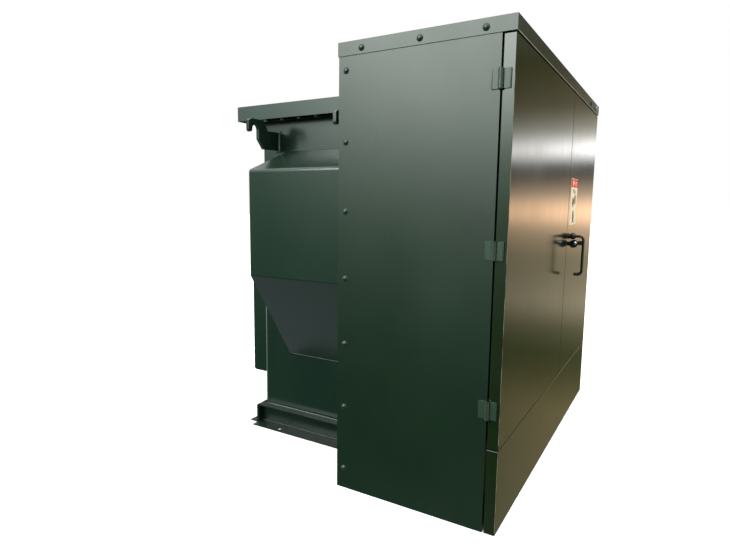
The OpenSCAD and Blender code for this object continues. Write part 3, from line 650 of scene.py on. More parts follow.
class Finish(Enum):
    """Every finish on the transformer."""

    SIDE_PAINT = Paint(
        "side_panel_enamel",
        (0.0034, 0.0135, 0.0058),
        0.30,
        wave=0.0005,
        grain=(0.8, 0.8, 0.6),
        marks=(
            ((-0.834, -0.75, 0.80), 0.12, 0.012),
            ((-0.834, -0.86, 1.03), 0.05, -0.5),
            ((-0.834, -0.82, 1.01), 0.035, -0.4),
            ((-0.834, -0.60, 0.33), 0.16, 0.006),
        ),
    )
    # lighter than the side enamel: partly the leaves' own greyer paint, partly a painted highlight
    # for the knuckles
    HINGE_PAINT = Paint("hinge_enamel_and_painted_highlight", (0.0150, 0.0340, 0.0200), 0.36, peel=0.00002, scratch=0.6)
    DOOR_PAINT = Paint(
        "door_enamel",
        (0.0070, 0.0145, 0.0050),
        0.15,
        peel=0.000002,
        wave=0.00006,
        grain=(7.0, 1.0, 0.2),
        scratch=0.1,
        streak=(9, 1, 0.4),
        unevenness=0.026,
    )
    TANK_PAINT = Paint("tank_enamel", (0.0080, 0.0205, 0.0140), 0.21, peel=0.000004, dust=0.3)
    COVER_PAINT = Paint("cover_enamel", (0.0090, 0.0250, 0.0190), 0.30, dust=0.3)
    # near-black paint on the tank rim: painted shade for the dark band under the cover, not the rim's
    # own colour
    SHADED_PAINT = Paint("rim_painted_shade", (0.002, 0.004, 0.003), 0.7, dust=0.1, mirror=0.05)
    BASE_PAINT = Paint("base_enamel", (0.0048, 0.0128, 0.0095), 0.26, peel=0.00001, dust=0.35)
    # pale weld paint: lighter than the enamel that the beads lie on, partly a painted highlight of
    # beads and bends
    WELD_PAINT = Paint("weld_enamel_painted_highlight", (0.050, 0.068, 0.064), 0.36, peel=0.00008, dust=0.5)
    # pale beige: painted highlight for the thin light lines along rolled bends, not worn paint
    WORN_PAINT = Paint("painted_edge_highlight", (0.200, 0.175, 0.130), 0.30, peel=0.00004, dust=0.3)
    BRIGHT_WELD = Paint("fresh_weld", (0.26, 0.31, 0.28), 0.36, peel=0.00008, dust=0.5)
    INNER_PAINT = Paint("inner_enamel", (0.014, 0.030, 0.018), 0.40, dust=0.15, scratch=0.1)
    BLACK_PAINT = Paint("handle_enamel", (0.003, 0.008, 0.005), 0.25, dust=0.1, scratch=0.2)
    ZINC = Metal("zinc_plate", (0.62, 0.63, 0.62), 0.34, tarnish=(0.45, 0.45, 0.42))
    CHROME = Metal("chrome", (0.90, 0.91, 0.92), 0.30, patchy=0.02)
    DIAL = Metal("dial_metal", (0.78, 0.79, 0.80), 0.36, grain=(1, 1, 0.1), patchy=0.1)
    BRASS = Metal("valve_brass", (0.66, 0.47, 0.20), 0.36, tarnish=(0.25, 0.16, 0.07))
    COPPER = Metal("bar_copper", (0.78, 0.42, 0.26), 0.32, grain=(0.05, 1, 1), patchy=0.4)
    TINNED = Metal("tinned_copper", (0.70, 0.69, 0.65), 0.38, patchy=0.2)
    RUBBER = Moulded("seal_rubber", (0.018, 0.018, 0.018), 0.75, 900)
    MOULDED_RUBBER = Moulded("insert_rubber", (0.016, 0.016, 0.018), 0.45, 700)
    RED_PLASTIC = Moulded("red_plastic", (0.40, 0.035, 0.022), 0.35, 600)
    BLACK_PLASTIC = Moulded("lock_plastic", (0.003, 0.003, 0.003), 0.6, 800, mirror=0.12)
    PORCELAIN = Moulded("bushing_glaze", (0.72, 0.69, 0.60), 0.2, 200, 0.00002, coat=0.8)
    BOARD = Moulded("barrier_board", (0.40, 0.085, 0.055), 0.55, 350, 0.00006)
    LABEL_WHITE = Moulded("label_cream", (0.92, 0.85, 0.68), 0.6, 300, 0.00001, bloomed=0.0)
    LABEL_GREEN = Moulded("label_green", (0.05, 0.16, 0.07), 0.4, 300, 0.00001)
    LABEL_RED = Moulded("label_red", (0.75, 0.020, 0.012), 0.6, 300, 0.00001)
    # black print on the label and dials; also the painted shade of the lock's keyway
    LABEL_BLACK = Moulded("black_print_and_painted_shade", (0.03, 0.03, 0.03), 0.4, 300, 0.00001)
    LABEL_BROWN = Moulded("label_brown", (0.22, 0.07, 0.03), 0.6, 300, 0.00001)
    DIAL_WHITE = Moulded("dial_white", (0.82, 0.82, 0.78), 0.35, 300, 0.00001, bloomed=0.05)
    CORE = Layered(
        "core_laminations", (0.42, 0.44, 0.47), (0.05, 0.05, 0.06), 0.003, "Y", 1.0, 0.4
    )
    WOUND = Layered("winding_layers", (0.60, 0.42, 0.24), (0.16, 0.09, 0.04), 0.008, "Z")

    def material(self) -> bpy.types.Material:
        """The finish's material, made the first time that it is asked for."""
        known = bpy.data.materials.get(self.value.name)
        return known or self.value.make()

    def put_on(self, obj: bpy.types.Object) -> None:
        """Gives obj this finish all over."""
        obj.data.materials.clear()
        obj.data.materials.append(self.material())


def place(obj: bpy.types.Object, body: str, finish: Finish) -> bpy.types.Object:
    """Finishes a new piece and makes it ride on a body.

    Args:
        obj: the piece.
        body: the CAD body that it moves with.
        finish: its finish, kept as it is when it already has materials.

    Returns:
        The piece.
    """
    if not obj.data.materials:
        finish.put_on(obj)
    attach(obj, body)
    LOG.info("%s rides on %s in %s", obj.name, body, finish.value.name)
    return obj


# ---- formed steel ---------------------------------------------------------------------------


@dataclass
class FormedNode:
    """A CAD node remade as a workshop leaves it: bends rolled, cut edges broken.

    Attributes:
        node: the CAD node's name.
        finish: its finish.
        bend: radius of the rolled bends.
        edge: radius of the broken edges.
        sheet: faces narrower than this count as cut edges.
        segments: steps in a bend.
    """

    node: str
    finish: Finish
    bend: float = 2 * MM
    edge: float = 0.6 * MM
    sheet: float = 9.0 * MM
    segments: int = 3

    def copy_merged(self, source: bpy.types.Object) -> bpy.types.Object:
        """A copy of the node with its triangles merged into flat faces."""
        mesh = source.data.copy()
        twin = bpy.data.objects.new(self.node + "_formed", mesh)
        bpy.context.scene.collection.objects.link(twin)
        with edit_mode(twin):
            bpy.ops.mesh.select_all(action="SELECT")
            bpy.ops.mesh.remove_doubles(threshold=2e-5)
            bpy.ops.mesh.dissolve_limited(angle_limit=math.radians(0.5))
        return twin

    def weigh_edges(self, twin: bpy.types.Object) -> None:
        """Marks bends with a full bevel weight, and cut edges with a small one."""
        shape = bmesh.new()
        shape.from_mesh(twin.data)
        weight = shape.edges.layers.float.new("bevel_weight_edge")
        small = self.edge / self.bend
        for edge in shape.edges:
            if len(edge.link_faces) != 2 or edge.calc_face_angle(0.0) < math.radians(25):
                continue
            breadth = min(
                2 * face.calc_area() / face.calc_perimeter() for face in edge.link_faces
            )
            rolled = edge.is_convex and breadth > self.sheet / 2
            edge[weight] = 1.0 if rolled else small
        shape.to_mesh(twin.data)
        shape.free()

    def make(self, nodes: dict[str, bpy.types.Object]) -> bpy.types.Object:
        """Builds the twin and lets it stand for the node.

        Args:
            nodes: the CAD nodes by name.

        Returns:
            The twin.
        """
        source = nodes[self.node]
        twin = self.copy_merged(source)
        self.weigh_edges(twin)
        bevel = twin.modifiers.new("bends", "BEVEL")
        bevel.width = self.bend
        bevel.segments = self.segments
        bevel.limit_method = "WEIGHT"
        bevel.use_clamp_overlap = True
        apply_modifiers(twin)
        smooth(twin, 40)
        flatten_shading(twin)
        self.finish.put_on(twin)
        place(twin, source["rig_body"], self.finish)
        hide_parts(self.node)
        return twin


FORMED = (
    FormedNode("left_side_panel", Finish.SIDE_PAINT),
    FormedNode("right_side_panel", Finish.SIDE_PAINT),
    FormedNode("cabinet_roof", Finish.SIDE_PAINT, bend=3 * MM),
    FormedNode("cabinet_back", Finish.INNER_PAINT),
    FormedNode("door_header", Finish.INNER_PAINT),
    FormedNode("centre_post", Finish.INNER_PAINT),
    FormedNode("left_door", Finish.DOOR_PAINT, bend=1.5 * MM),
    FormedNode("right_door", Finish.DOOR_PAINT, bend=1.5 * MM),
    FormedNode("front_sill", Finish.DOOR_PAINT, bend=3 * MM),
    FormedNode("left_door_stiffeners", Finish.INNER_PAINT),
    FormedNode("right_door_stiffeners", Finish.INNER_PAINT, bend=1.5 * MM),
    FormedNode("frame_hinge_leaves", Finish.HINGE_PAINT, bend=2.4 * MM, edge=1.2 * MM, sheet=3 * MM),
    FormedNode("left_hinge_leaves", Finish.HINGE_PAINT, bend=2.4 * MM, edge=1.2 * MM, sheet=3 * MM),
    FormedNode("right_hinge_leaves", Finish.HINGE_PAINT, bend=2.4 * MM, edge=1.2 * MM, sheet=3 * MM),
    FormedNode("cabinet_bolts", Finish.SIDE_PAINT, bend=0.8 * MM, edge=0.5 * MM),
    FormedNode("tank_shell", Finish.TANK_PAINT),
    # the rim takes the near-black painted shade of the band under the cover
    FormedNode("tank_rim", Finish.SHADED_PAINT, bend=1.5 * MM, edge=1.0 * MM),
    FormedNode("tank_cover", Finish.COVER_PAINT, bend=5 * MM, edge=1.0 * MM, sheet=14 * MM),
    FormedNode("lifting_lugs", Finish.TANK_PAINT, bend=1.5 * MM, edge=1.2 * MM),
    FormedNode("cooling_pockets", Finish.TANK_PAINT, bend=4 * MM),
    FormedNode("rear_cooling_box", Finish.TANK_PAINT, bend=4 * MM),
    FormedNode("base_frame", Finish.BASE_PAINT, bend=3 * MM, edge=1.0 * MM, sheet=14 * MM),
    FormedNode("handle_hub", Finish.BLACK_PAINT, bend=1 * MM, edge=0.8 * MM),
    FormedNode("door_handle", Finish.BLACK_PAINT, bend=1 * MM, edge=0.8 * MM),
    FormedNode("lock_body", Finish.BLACK_PLASTIC, bend=2.5 * MM, edge=0.8 * MM),
    FormedNode("lock_plug", Finish.CHROME, bend=0.6 * MM, edge=0.3 * MM),
    FormedNode("hinge_pins", Finish.SIDE_PAINT, bend=0.5 * MM, edge=0.4 * MM),
    FormedNode("cover_bolts", Finish.ZINC, bend=0.8 * MM, edge=0.5 * MM),
    FormedNode("hv_bushings", Finish.MOULDED_RUBBER, bend=1.5 * MM),
    FormedNode("hv_inserts", Finish.RED_PLASTIC, bend=1.5 * MM),
    FormedNode("lv_bushings", Finish.PORCELAIN, bend=1.2 * MM),
    FormedNode("lv_spades", Finish.TINNED, bend=1.2 * MM),
    FormedNode("tap_changer", Finish.ZINC, bend=1 * MM),
    FormedNode("tap_changer_handle", Finish.RED_PLASTIC),
    FormedNode("switch_body", Finish.ZINC, bend=1 * MM),
    FormedNode("switch_handle", Finish.RED_PLASTIC),
    FormedNode("fuse_housings", Finish.MOULDED_RUBBER, bend=1 * MM),
    FormedNode("left_fuse", Finish.BLACK_PLASTIC, bend=1.2 * MM),
    FormedNode("middle_fuse", Finish.BLACK_PLASTIC, bend=1.2 * MM),
    FormedNode("right_fuse", Finish.BLACK_PLASTIC, bend=1.2 * MM),
    FormedNode("drain_valve", Finish.BRASS, bend=1 * MM),
    FormedNode("drain_valve_wheel", Finish.RED_PLASTIC, bend=1 * MM),
    FormedNode("fill_plug", Finish.ZINC, bend=1.2 * MM),
    FormedNode("gauge_cases", Finish.DIAL, bend=1.5 * MM),
    FormedNode("relief_valve", Finish.BRASS, bend=1 * MM),
    FormedNode("ground_bar", Finish.COPPER, bend=0.8 * MM),
    FormedNode("ground_strap", Finish.COPPER, bend=0.8 * MM),
    FormedNode("nameplate", Finish.DIAL, bend=0.5 * MM, edge=0.3 * MM),
    FormedNode("compartment_barrier", Finish.BOARD, bend=0.8 * MM),
)

KEPT = {
    "cover_gasket": Finish.RUBBER,
    "core": Finish.CORE,
    "core_clamps": Finish.ZINC,
    "lv_windings": Finish.WOUND,
    "hv_windings": Finish.WOUND,
    "latch_forks": Finish.ZINC,
    "upper_latch_rod": Finish.ZINC,
    "lower_latch_rod": Finish.ZINC,
    "relief_ring": Finish.ZINC,
    "level_pointer": Finish.RED_PLASTIC,
    "thermometer_pointer": Finish.RED_PLASTIC,
}


# ---- workshop details -------------------------------------------------------------------------


@dataclass
class WeldBead:
    """A ragged bead along a straight joint, laid in overlapping drops.

    Attributes:
        name: the bead's name.
        start: where it starts.
        end: where it ends.
        radius: its mean radius.
        body: the body that it rides on.
        drop: length of one drop.
        finish: its paint.
    """

    name: str
    start: Vector
    end: Vector
    radius: float = 3.2 * MM
    body: str = "root"
    drop: float = 7 * MM
    finish: Finish = Finish.WELD_PAINT

    def make(self) -> bpy.types.Object:
        """Lays the bead."""
        start, end = Vector(self.start), Vector(self.end)
        steps = max(4, int((end - start).length / (self.drop / 3)))
        points, radii = [], []
        across = (end - start).cross(Vector((0.3, 0.2, 1.0))).normalized()
        for k in range(steps + 1):
            share = k / steps
            ripple = abs(math.sin(math.pi * k / 3))
            wander = math.sin(k * 0.83) + 0.6 * math.sin(k * 2.31 + 1.0)
            taper = min(1.0, 0.35 + 6 * min(share, 1 - share))
            points.append(start.lerp(end, share) + across * wander * 0.2 * self.radius)
            radii.append(self.radius * taper * (0.62 + 0.4 * ripple + 0.12 * wander))
        return place(swept_rod(self.name, points, radii, sides=1), self.body, self.finish)


@dataclass
class DoorLabel:
    """A plain instruction plate on the right door, with simple signs and no lettering.

    Attributes:
        left: the plate's left edge.
        right: its right edge.
        bottom: its lower edge.
        top: its upper edge.
        thick: its thickness.
        header: height of the red header.
    """

    left: float = 0.167
    right: float = 0.326
    bottom: float = 0.991
    top: float = 1.204
    thick: float = 0.5 * MM
    header: float = 0.040

    def patch(
        self, name: str, left: float, right: float, low: float, high: float, layer: int, fin: Finish
    ) -> bpy.types.Object:
        """A thin printed patch on the plate.

        Args:
            name: its name.
            left: its left edge.
            right: its right edge.
            low: its lower edge.
            high: its upper edge.
            layer: how many layers it lies above the door.
            fin: its finish.

        Returns:
            The patch, riding on the right door.
        """
        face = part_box("right_door")[0][1]
        front = face - self.thick * (0.4 + 0.3 * layer)
        patch = block(name, (left, front, low), (right, face - self.thick * 0.1 * layer, high))
        soften(patch, 0.1 * MM, 1)
        return place(patch, "right_door", fin)

    def sign(
        self,
        name: str,
        x: float,
        z: float,
        radius: float,
        sides: int,
        turn: float,
        finish: Finish,
    ) -> None:
        """A small solid sign with straight sides, such as a triangle.

        Args:
            name: its name.
            x: its middle across the door.
            z: its middle's height.
            radius: its outer radius.
            sides: the number of its sides.
            turn: how far it is turned, in degrees.
            finish: its finish.
        """
        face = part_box("right_door")[0][1]
        sign = disc(name, (x, face - self.thick * 0.8, z), radius, self.thick, "Y", sides)
        take_up(sign)
        bpy.ops.transform.rotate(
            value=math.radians(turn),
            orient_axis="Y",
            center_override=(x, face, z),
        )
        settle(sign)
        with edit_mode(sign):
            pick = bmesh.from_edit_mesh(sign.data)
            for part in pick.faces:
                part.select = part.normal.y < -0.9
            bmesh.update_edit_mesh(sign.data)
            bpy.ops.mesh.inset(thickness=radius * 0.12, depth=0.0)
        place(sign, "right_door", finish)

    def build(self) -> None:
        """Lays the plate, its header and its signs."""
        middle = (self.left + self.right) / 2
        width = self.right - self.left
        brown, pale = Finish.LABEL_BROWN, Finish.LABEL_WHITE
        self.patch(
            "label_sheet", self.left, self.right, self.bottom, self.top, 0, Finish.LABEL_WHITE
        )
        self.patch(
            "label_header",
            self.left + 2 * MM,
            self.right - 2 * MM,
            self.top - self.header,
            self.top - 2 * MM,
            1,
            Finish.LABEL_RED,
        )
        self.sign("header_disc", middle - 0.16 * width, self.top - 0.021, 0.013, 32, 0, pale)
        self.sign("header_wedge", middle + 0.20 * width, self.top - 0.022, 0.016, 3, 70, pale)
        self.sign("label_ring_left", middle - 0.10 * width, self.top - 0.056, 0.010, 32, 0, brown)
        self.sign("label_ring_right", middle + 0.10 * width, self.top - 0.061, 0.010, 32, 0, brown)
        self.sign("picture_low", middle - 0.13 * width, self.bottom + 0.104, 0.026, 4, 20, brown)
        self.sign(
            "picture_high",
            middle + 0.16 * width,
            self.bottom + 0.117,
            0.027,
            5,
            12,
            Finish.LABEL_GREEN,
        )
        self.sign("figure_head", middle - 0.02 * width, self.bottom + 0.052, 0.014, 32, 0, brown)
        self.sign("figure_body", middle, self.bottom + 0.030, 0.022, 6, 0, brown)
        for k, (low, long) in enumerate(((0.006, 0.70), (0.012, 0.45))):
            self.patch(
                f"label_line_{k}",
                middle - width * long / 2,
                middle + width * long / 2,
                self.bottom + low,
                self.bottom + low + 1.8 * MM,
                1,
                Finish.LABEL_BLACK,
            )


@dataclass
class TankWelds:
    """The beads that hold the tank together, where the paint has not hidden them; their pale paint is
    partly a painted highlight.

    Attributes:
        bead: radius of a heavy bead.
        fine: radius of a seam on thin sheet.
        shelf: height of the shelf that the tank stands on.
        foot: height of the pale bead on the bottom flange, a painted highlight of the bend between
            web and foot.
        lug_rows: the lugs' middles along the tank, by row.
        lug_pad: foot and top of a lug's doubler plate.
        lug_seam: foot and top of the beads on it.
    """

    bead: float = 4.2 * MM
    fine: float = 1.8 * MM
    shelf: float = 0.095
    foot: float = 7.5 * MM
    lug_rows: tuple[tuple[str, float], ...] = (("front", -0.2165), ("rear", 0.2295))
    lug_pad: tuple[float, float] = (1.304, 1.402)
    lug_seam: tuple[float, float] = (1.312, 1.390)

    def build(self) -> None:
        """Lays the beads of the base, the pockets, the lugs and the rim."""
        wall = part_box("tank_shell")
        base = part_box("base_frame")
        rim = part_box("tank_rim")
        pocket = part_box("cooling_pockets")
        pocket_run = (pocket[0][1] + 4 * MM, pocket[1][1] - 4 * MM)
        wall_run = (wall[0][1] + 0.02, wall[1][1] - 0.02)
        base_run = (base[0][1] + 0.012, base[1][1] - 0.012)
        for side in (-1, 1):
            name = "left" if side < 0 else "right"
            x = side * (wall[1][0] + 0.5 * MM)
            on_shelf = x + side * 7 * MM
            web = side * (wall[1][0] + 16.5 * MM)
            # all these beads take the pale weld paint, partly a painted highlight; the foot bead is a
            # painted highlight of the base's inner bend
            for seam, across, (near, far), z, radius, drop in (
                ("base", on_shelf, wall_run, self.shelf, self.bead, 12 * MM),
                ("foot", web, base_run, self.foot, self.fine, 7 * MM),
                ("rim", x, wall_run, rim[0][2] - 0.5 * MM, self.fine, 7 * MM),
                ("pocket_top", x, pocket_run, pocket[1][2] + 0.3 * MM, self.fine, 7 * MM),
                ("pocket_foot", x, pocket_run, pocket[0][2] - 0.3 * MM, self.fine, 7 * MM),
            ):
                WeldBead(
                    f"{name}_{seam}_weld", (across, near, z), (across, far, z), radius, drop=drop
                ).make()
            for edge, y in (("front", pocket[0][1]), ("rear", pocket[1][1])):
                WeldBead(
                    f"{name}_pocket_{edge}_weld",
                    (x, y, pocket[0][2]),
                    (x, y, pocket[1][2]),
                    self.fine,
                ).make()
            for row, y in self.lug_rows:
                self.pad(f"{name}_{row}_lug", side, wall[1][0], y)
        LOG.info("welded between %s and %s", base[0], rim[1])

    def pad(self, name: str, side: int, wall_x: float, y: float) -> None:
        """Lays a doubler plate behind a lug, with a bead down both of its edges.

        Args:
            name: the lug's name.
            side: 1 on the right side, -1 on the left.
            wall_x: the tank wall's distance from the middle.
            y: the lug's middle.
        """
        inner, outer = sorted((side * (wall_x - 1 * MM), side * (wall_x + 5 * MM)))
        half = 16 * MM
        foot, top = self.lug_pad
        plate = block(f"{name}_pad", (inner, y - half, foot), (outer, y + half, top))
        soften(plate, 2.4 * MM, 3)
        place(plate, "root", Finish.TANK_PAINT)
        x = side * (wall_x + 6.5 * MM)
        for edge, off in (("near", -0.0095), ("far", 0.0095)):
            WeldBead(
                f"{name}_{edge}_bead",
                (x, y + off, self.lug_seam[0]),
                (x, y + off, self.lug_seam[1]),
                3.6 * MM,
                finish=Finish.BRIGHT_WELD,
            ).make()


@dataclass
class PaintedHighlightEdge:
    """A straight pale rod a hair proud of the bend under it: a painted highlight for the light line
    that the bend catches.

    Attributes:
        name: its name.
        start: where it starts.
        end: where it ends.
        radius: its radius.
        body: the body that it rides on.
    """

    name: str
    start: tuple[float, float, float]
    end: tuple[float, float, float]
    radius: float = 0.9 * MM
    body: str = "root"

    def make(self) -> bpy.types.Object:
        """Lays the edge, thinner and thicker by turns."""
        start, end = Vector(self.start), Vector(self.end)
        steps = max(6, int((end - start).length / 0.02))
        points = [start.lerp(end, k / steps) for k in range(steps + 1)]
        radii = [
            self.radius * (0.85 + 0.1 * math.sin(k * 1.7) + 0.1 * math.sin(k * 0.61 + 1.0))
            for k in range(steps + 1)
        ]
        radii[0] = radii[-1] = self.radius * 0.3
        return place(swept_rod(self.name, points, radii), self.body, Finish.WORN_PAINT)


class HingeRims:
    """The rolled outer edges of the hinge leaves, with their welds to the sheet."""

    @staticmethod
    def rim(name: str, x: float, y: float, low: float, high: float, body: str) -> None:
        """Rolls one edge.

        Args:
            name: its name.
            x: its middle across the cabinet.
            y: its middle along the cabinet.
            low: its foot.
            high: its top.
            body: the body that it rides on.
        """
        ends = 2.2 * MM
        points = [Vector((x, y, low)), Vector((x, y, low + ends))]
        points += [Vector((x, y, high - ends)), Vector((x, y, high))]
        radius = 2.6 * MM
        roll = swept_rod(name, points, [0.85 * radius, radius, radius, 0.85 * radius], sides=4)
        place(roll, body, Finish.HINGE_PAINT)

    def build(self) -> None:
        """Rolls both edges of all six hinges."""
        low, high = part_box("hinge_pins")
        pin_length = 61 * MM
        half_leaf = 29 * MM
        inset = 2.6 * MM
        middle = (low[2] + high[2]) / 2
        reach = (high[2] - low[2] - pin_length) / 2
        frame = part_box("frame_hinge_leaves")
        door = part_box("right_hinge_leaves")
        side_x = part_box("right_side_panel")[1][0] + 2.9 * MM
        for side, body in ((-1, "left_door"), (1, "right_door")):
            for k in (-1, 0, 1):
                foot = middle + k * reach - half_leaf
                top = middle + k * reach + half_leaf
                x = side * side_x
                self.rim(f"{body}_leaf_rim_{k}", x, door[0][1] + inset, foot, top, body)
                self.rim(f"{body}_frame_rim_{k}", x, frame[1][1] - inset, foot, top, "root")


class RoofScrews:
    """Two screws near the far end of the roof's front edge."""

    @staticmethod
    def build() -> None:
        """Sets the bright screw over the bolt and the painted one beside it."""
        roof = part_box("cabinet_roof")
        front = roof[0][1]
        for name, x, radius, deep, finish in (
            ("bright", 0.7115, 12.5, 9.0, Finish.BRIGHT_WELD),
            ("painted", 0.560, 9.0, 5.0, Finish.SIDE_PAINT),
        ):
            head = disc(
                f"roof_screw_{name}",
                (x, front - deep / 2 * MM + 0.5 * MM, roof[1][2] - 0.027),
                radius * MM,
                (deep + 1) * MM,
                sides=32,
            )
            soften(head, 3 * MM, 3)
            place(head, "root", finish)


class PaintedHighlightEdges:
    """The painted highlight lines along the bends of the cabinet's front."""

    @staticmethod
    def build() -> None:
        """Lays the painted highlights on the edges of the roof's hem, the doors and the sill."""
        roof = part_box("cabinet_roof")
        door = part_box("left_door")
        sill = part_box("front_sill")
        front = roof[0][1] + 0.6 * MM
        hem = roof[0][2] - 0.6 * MM
        PaintedHighlightEdge(
            "roof_hem", (roof[0][0], front, hem), (roof[1][0], front, hem), 2.5 * MM
        ).make()
        x, y = door[0][0] + 0.9 * MM, door[0][1] + 0.9 * MM
        PaintedHighlightEdge(
            "left_door_edge", (x, y, door[0][2] + 4 * MM), (x, y, door[1][2] - 0.10), body="left_door"
        ).make()
        PaintedHighlightEdge(
            "sill_edge", (x, y, 0.004), (x, y, sill[1][2] - 4 * MM), 0.7 * MM, "sill"
        ).make()


@dataclass
class BoltRing:
    """Hexagon bolts on washers, set round a flange on the tank's front.

    Attributes:
        name: the ring's name.
        centre: the flange's middle, as X and Z.
        radius: radius of the bolt circle.
        front: how far the flange's face stands off the tank.
        count: the number of bolts.
        head: radius of a bolt's head.
        start: angle of the first bolt, in degrees.
    """

    name: str
    centre: tuple[float, float]
    radius: float
    front: float
    count: int = 4
    head: float = 5 * MM
    start: float = 45.0

    def make(self) -> bpy.types.Object:
        """Sets the bolts."""
        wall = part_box("tank_shell")[0][1]
        parts = []
        for k in range(self.count):
            turn = math.radians(self.start + 360 * k / self.count)
            x = self.centre[0] + self.radius * math.cos(turn)
            z = self.centre[1] + self.radius * math.sin(turn)
            y = wall - self.front
            parts.append(disc("washer", (x, y - 0.6 * MM, z), self.head * 1.4, 1.8 * MM, sides=24))
            parts.append(disc("head", (x, y - 3.2 * MM, z), self.head, 4.4 * MM, sides=6))
        ring = join(parts, self.name)
        soften(ring, 0.4 * MM, 1)
        return place(ring, "root", Finish.ZINC)


@dataclass
class GaugeFace:
    """The face of a round gauge: white dial, scale marks, a coloured arc and a bezel.

    Attributes:
        name: the gauge's name.
        x: its middle across the tank.
        z: its middle's height.
        radius: radius of the case.
        marks: the number of scale marks.
        sweep: half of the scale's angle, in degrees.
        depth: how far the dial's face stands off the tank.
        case: how far the bezel stands off the tank.
    """

    name: str
    x: float
    z: float
    radius: float = 46 * MM
    marks: int = 21
    sweep: float = 130.0
    depth: float = 22.6 * MM
    case: float = 34 * MM

    def on_circle(self, turn: float, reach: float, y: float) -> Vector:
        """The point at an angle from the top, clockwise as seen from the doors."""
        return Vector((self.x + reach * math.sin(turn), y, self.z + reach * math.cos(turn)))

    def spoke(self, k: int, front: float) -> bpy.types.Object:
        """One scale mark, every fifth one longer."""
        long = 8 * MM if k % 5 == 0 else 4.5 * MM
        wide = 0.9 * MM if k % 5 == 0 else 0.5 * MM
        rim = self.radius - 8 * MM
        mark = block(
            "mark",
            (self.x - wide, front - 0.3 * MM, self.z + rim - long),
            (self.x + wide, front + 0.2 * MM, self.z + rim),
        )
        take_up(mark)
        turn = self.sweep * (2 * k / (self.marks - 1) - 1)
        bpy.ops.transform.rotate(
            value=math.radians(turn), orient_axis="Y", center_override=(self.x, front, self.z)
        )
        return settle(mark)

    def make(self) -> None:
        """Builds the face."""
        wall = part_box("tank_shell")[0][1]
        front = wall - self.depth
        dial = disc(
            f"{self.name}_dial",
            (self.x, front + 0.4 * MM, self.z),
            self.radius - 5.5 * MM,
            0.8 * MM,
            sides=64,
        )
        soften(dial, 0.2 * MM, 1)
        place(dial, "root", Finish.DIAL_WHITE)
        scale = join([self.spoke(k, front) for k in range(self.marks)], f"{self.name}_scale")
        place(scale, "root", Finish.LABEL_BLACK)
        band = self.radius - 20 * MM
        arc = [self.on_circle(math.radians(60 + 5 * k), band, front) for k in range(13)]
        place(swept_rod(f"{self.name}_arc", arc, [1 * MM] * 13), "root", Finish.LABEL_RED)
        lip = self.radius - 2.2 * MM
        ring = [self.on_circle(2 * math.pi * k / 64, lip, wall - self.case) for k in range(64)]
        bezel = swept_rod(f"{self.name}_bezel", ring, [2.4 * MM] * 64, closed=True)
        place(bezel, "root", Finish.CHROME)


@dataclass
class DoorSeal:
    """A rubber strip round the back of a door.

    Attributes:
        door: the door's node and body.
        inset: distance of the strip from the door's edges.
        radius: the strip's radius.
    """

    door: str
    inset: float = 15 * MM
    radius: float = 2.4 * MM

    def make(self) -> bpy.types.Object:
        """Lays the strip."""
        low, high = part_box(self.door)
        left, right = low[0] + self.inset, high[0] - self.inset
        foot, top = low[2] + self.inset, high[2] - self.inset
        y = high[1] + 0.8 * self.radius
        bend = 6 * MM
        line = []
        for x, z, first in (
            (right - bend, top - bend, 0),
            (left + bend, top - bend, 90),
            (left + bend, foot + bend, 180),
            (right - bend, foot + bend, 270),
        ):
            for k in range(5):
                turn = math.radians(first + 22.5 * k)
                line.append(Vector((x + bend * math.cos(turn), y, z + bend * math.sin(turn))))
        strip = swept_rod(f"{self.door}_seal", line, [self.radius] * len(line), closed=True)
        return place(strip, self.door, Finish.RUBBER)


@dataclass
class HandleTrim:
    """The moulded tip of the handle and the bright cap of the lock.

    Attributes:
        grip: radius of the tip.
        bend: radius of the handle's lower bend.
        cap: radius of the cap.
    """

    grip: float = 7.6 * MM
    bend: float = 18 * MM
    cap: float = 7.4 * MM

    def make(self) -> None:
        """Builds both."""
        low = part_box("door_handle")[0]
        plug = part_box("lock_plug")
        x = plug[0][0] + 14.5 * MM
        out_y = low[1] + 6 * MM
        low_z = low[2] + 6 * MM
        middle = Vector((x, out_y + self.bend, low_z + self.bend))
        line = []
        for k in range(8):
            turn = math.radians(42 + 48 * k / 7)
            line.append(
                middle + Vector((0, -self.bend * math.cos(turn), -self.bend * math.sin(turn)))
            )
        for k in range(1, 9):
            line.append(Vector((x, middle.y + 2 * k * MM, low_z)))
        ends = {0: 0.86, 1: 0.97, len(line) - 2: 0.93, len(line) - 1: 0.6}
        radii = [self.grip * ends.get(k, 1.0) for k in range(len(line))]
        place(swept_rod("handle_grip", line, radii, sides=4), "handle", Finish.BLACK_PAINT)
        centre = (plug[0][0], (plug[0][1] + plug[1][1]) / 2, (plug[0][2] + plug[1][2]) / 2)
        deselect_all()
        bpy.ops.mesh.primitive_uv_sphere_add(segments=32, ring_count=16, location=centre)
        cap = bpy.context.active_object
        cap.name = "lock_cap"
        cap.scale = (2.0 * MM, self.cap, self.cap)
        settle(cap)
        smooth(cap, 60)
        place(cap, "lock_plug", Finish.CHROME)
        x, y, z = centre
        # a black block in the cap: painted shade for the dark keyway
        slot = block(
            "keyway_painted_shade", (x - 2.3 * MM, y - 0.5 * MM, z - 2.2 * MM), (x, y + 0.5 * MM, z + 2.2 * MM)
        )
        soften(slot, 0.2 * MM, 1)
        place(slot, "lock_plug", Finish.LABEL_BLACK)


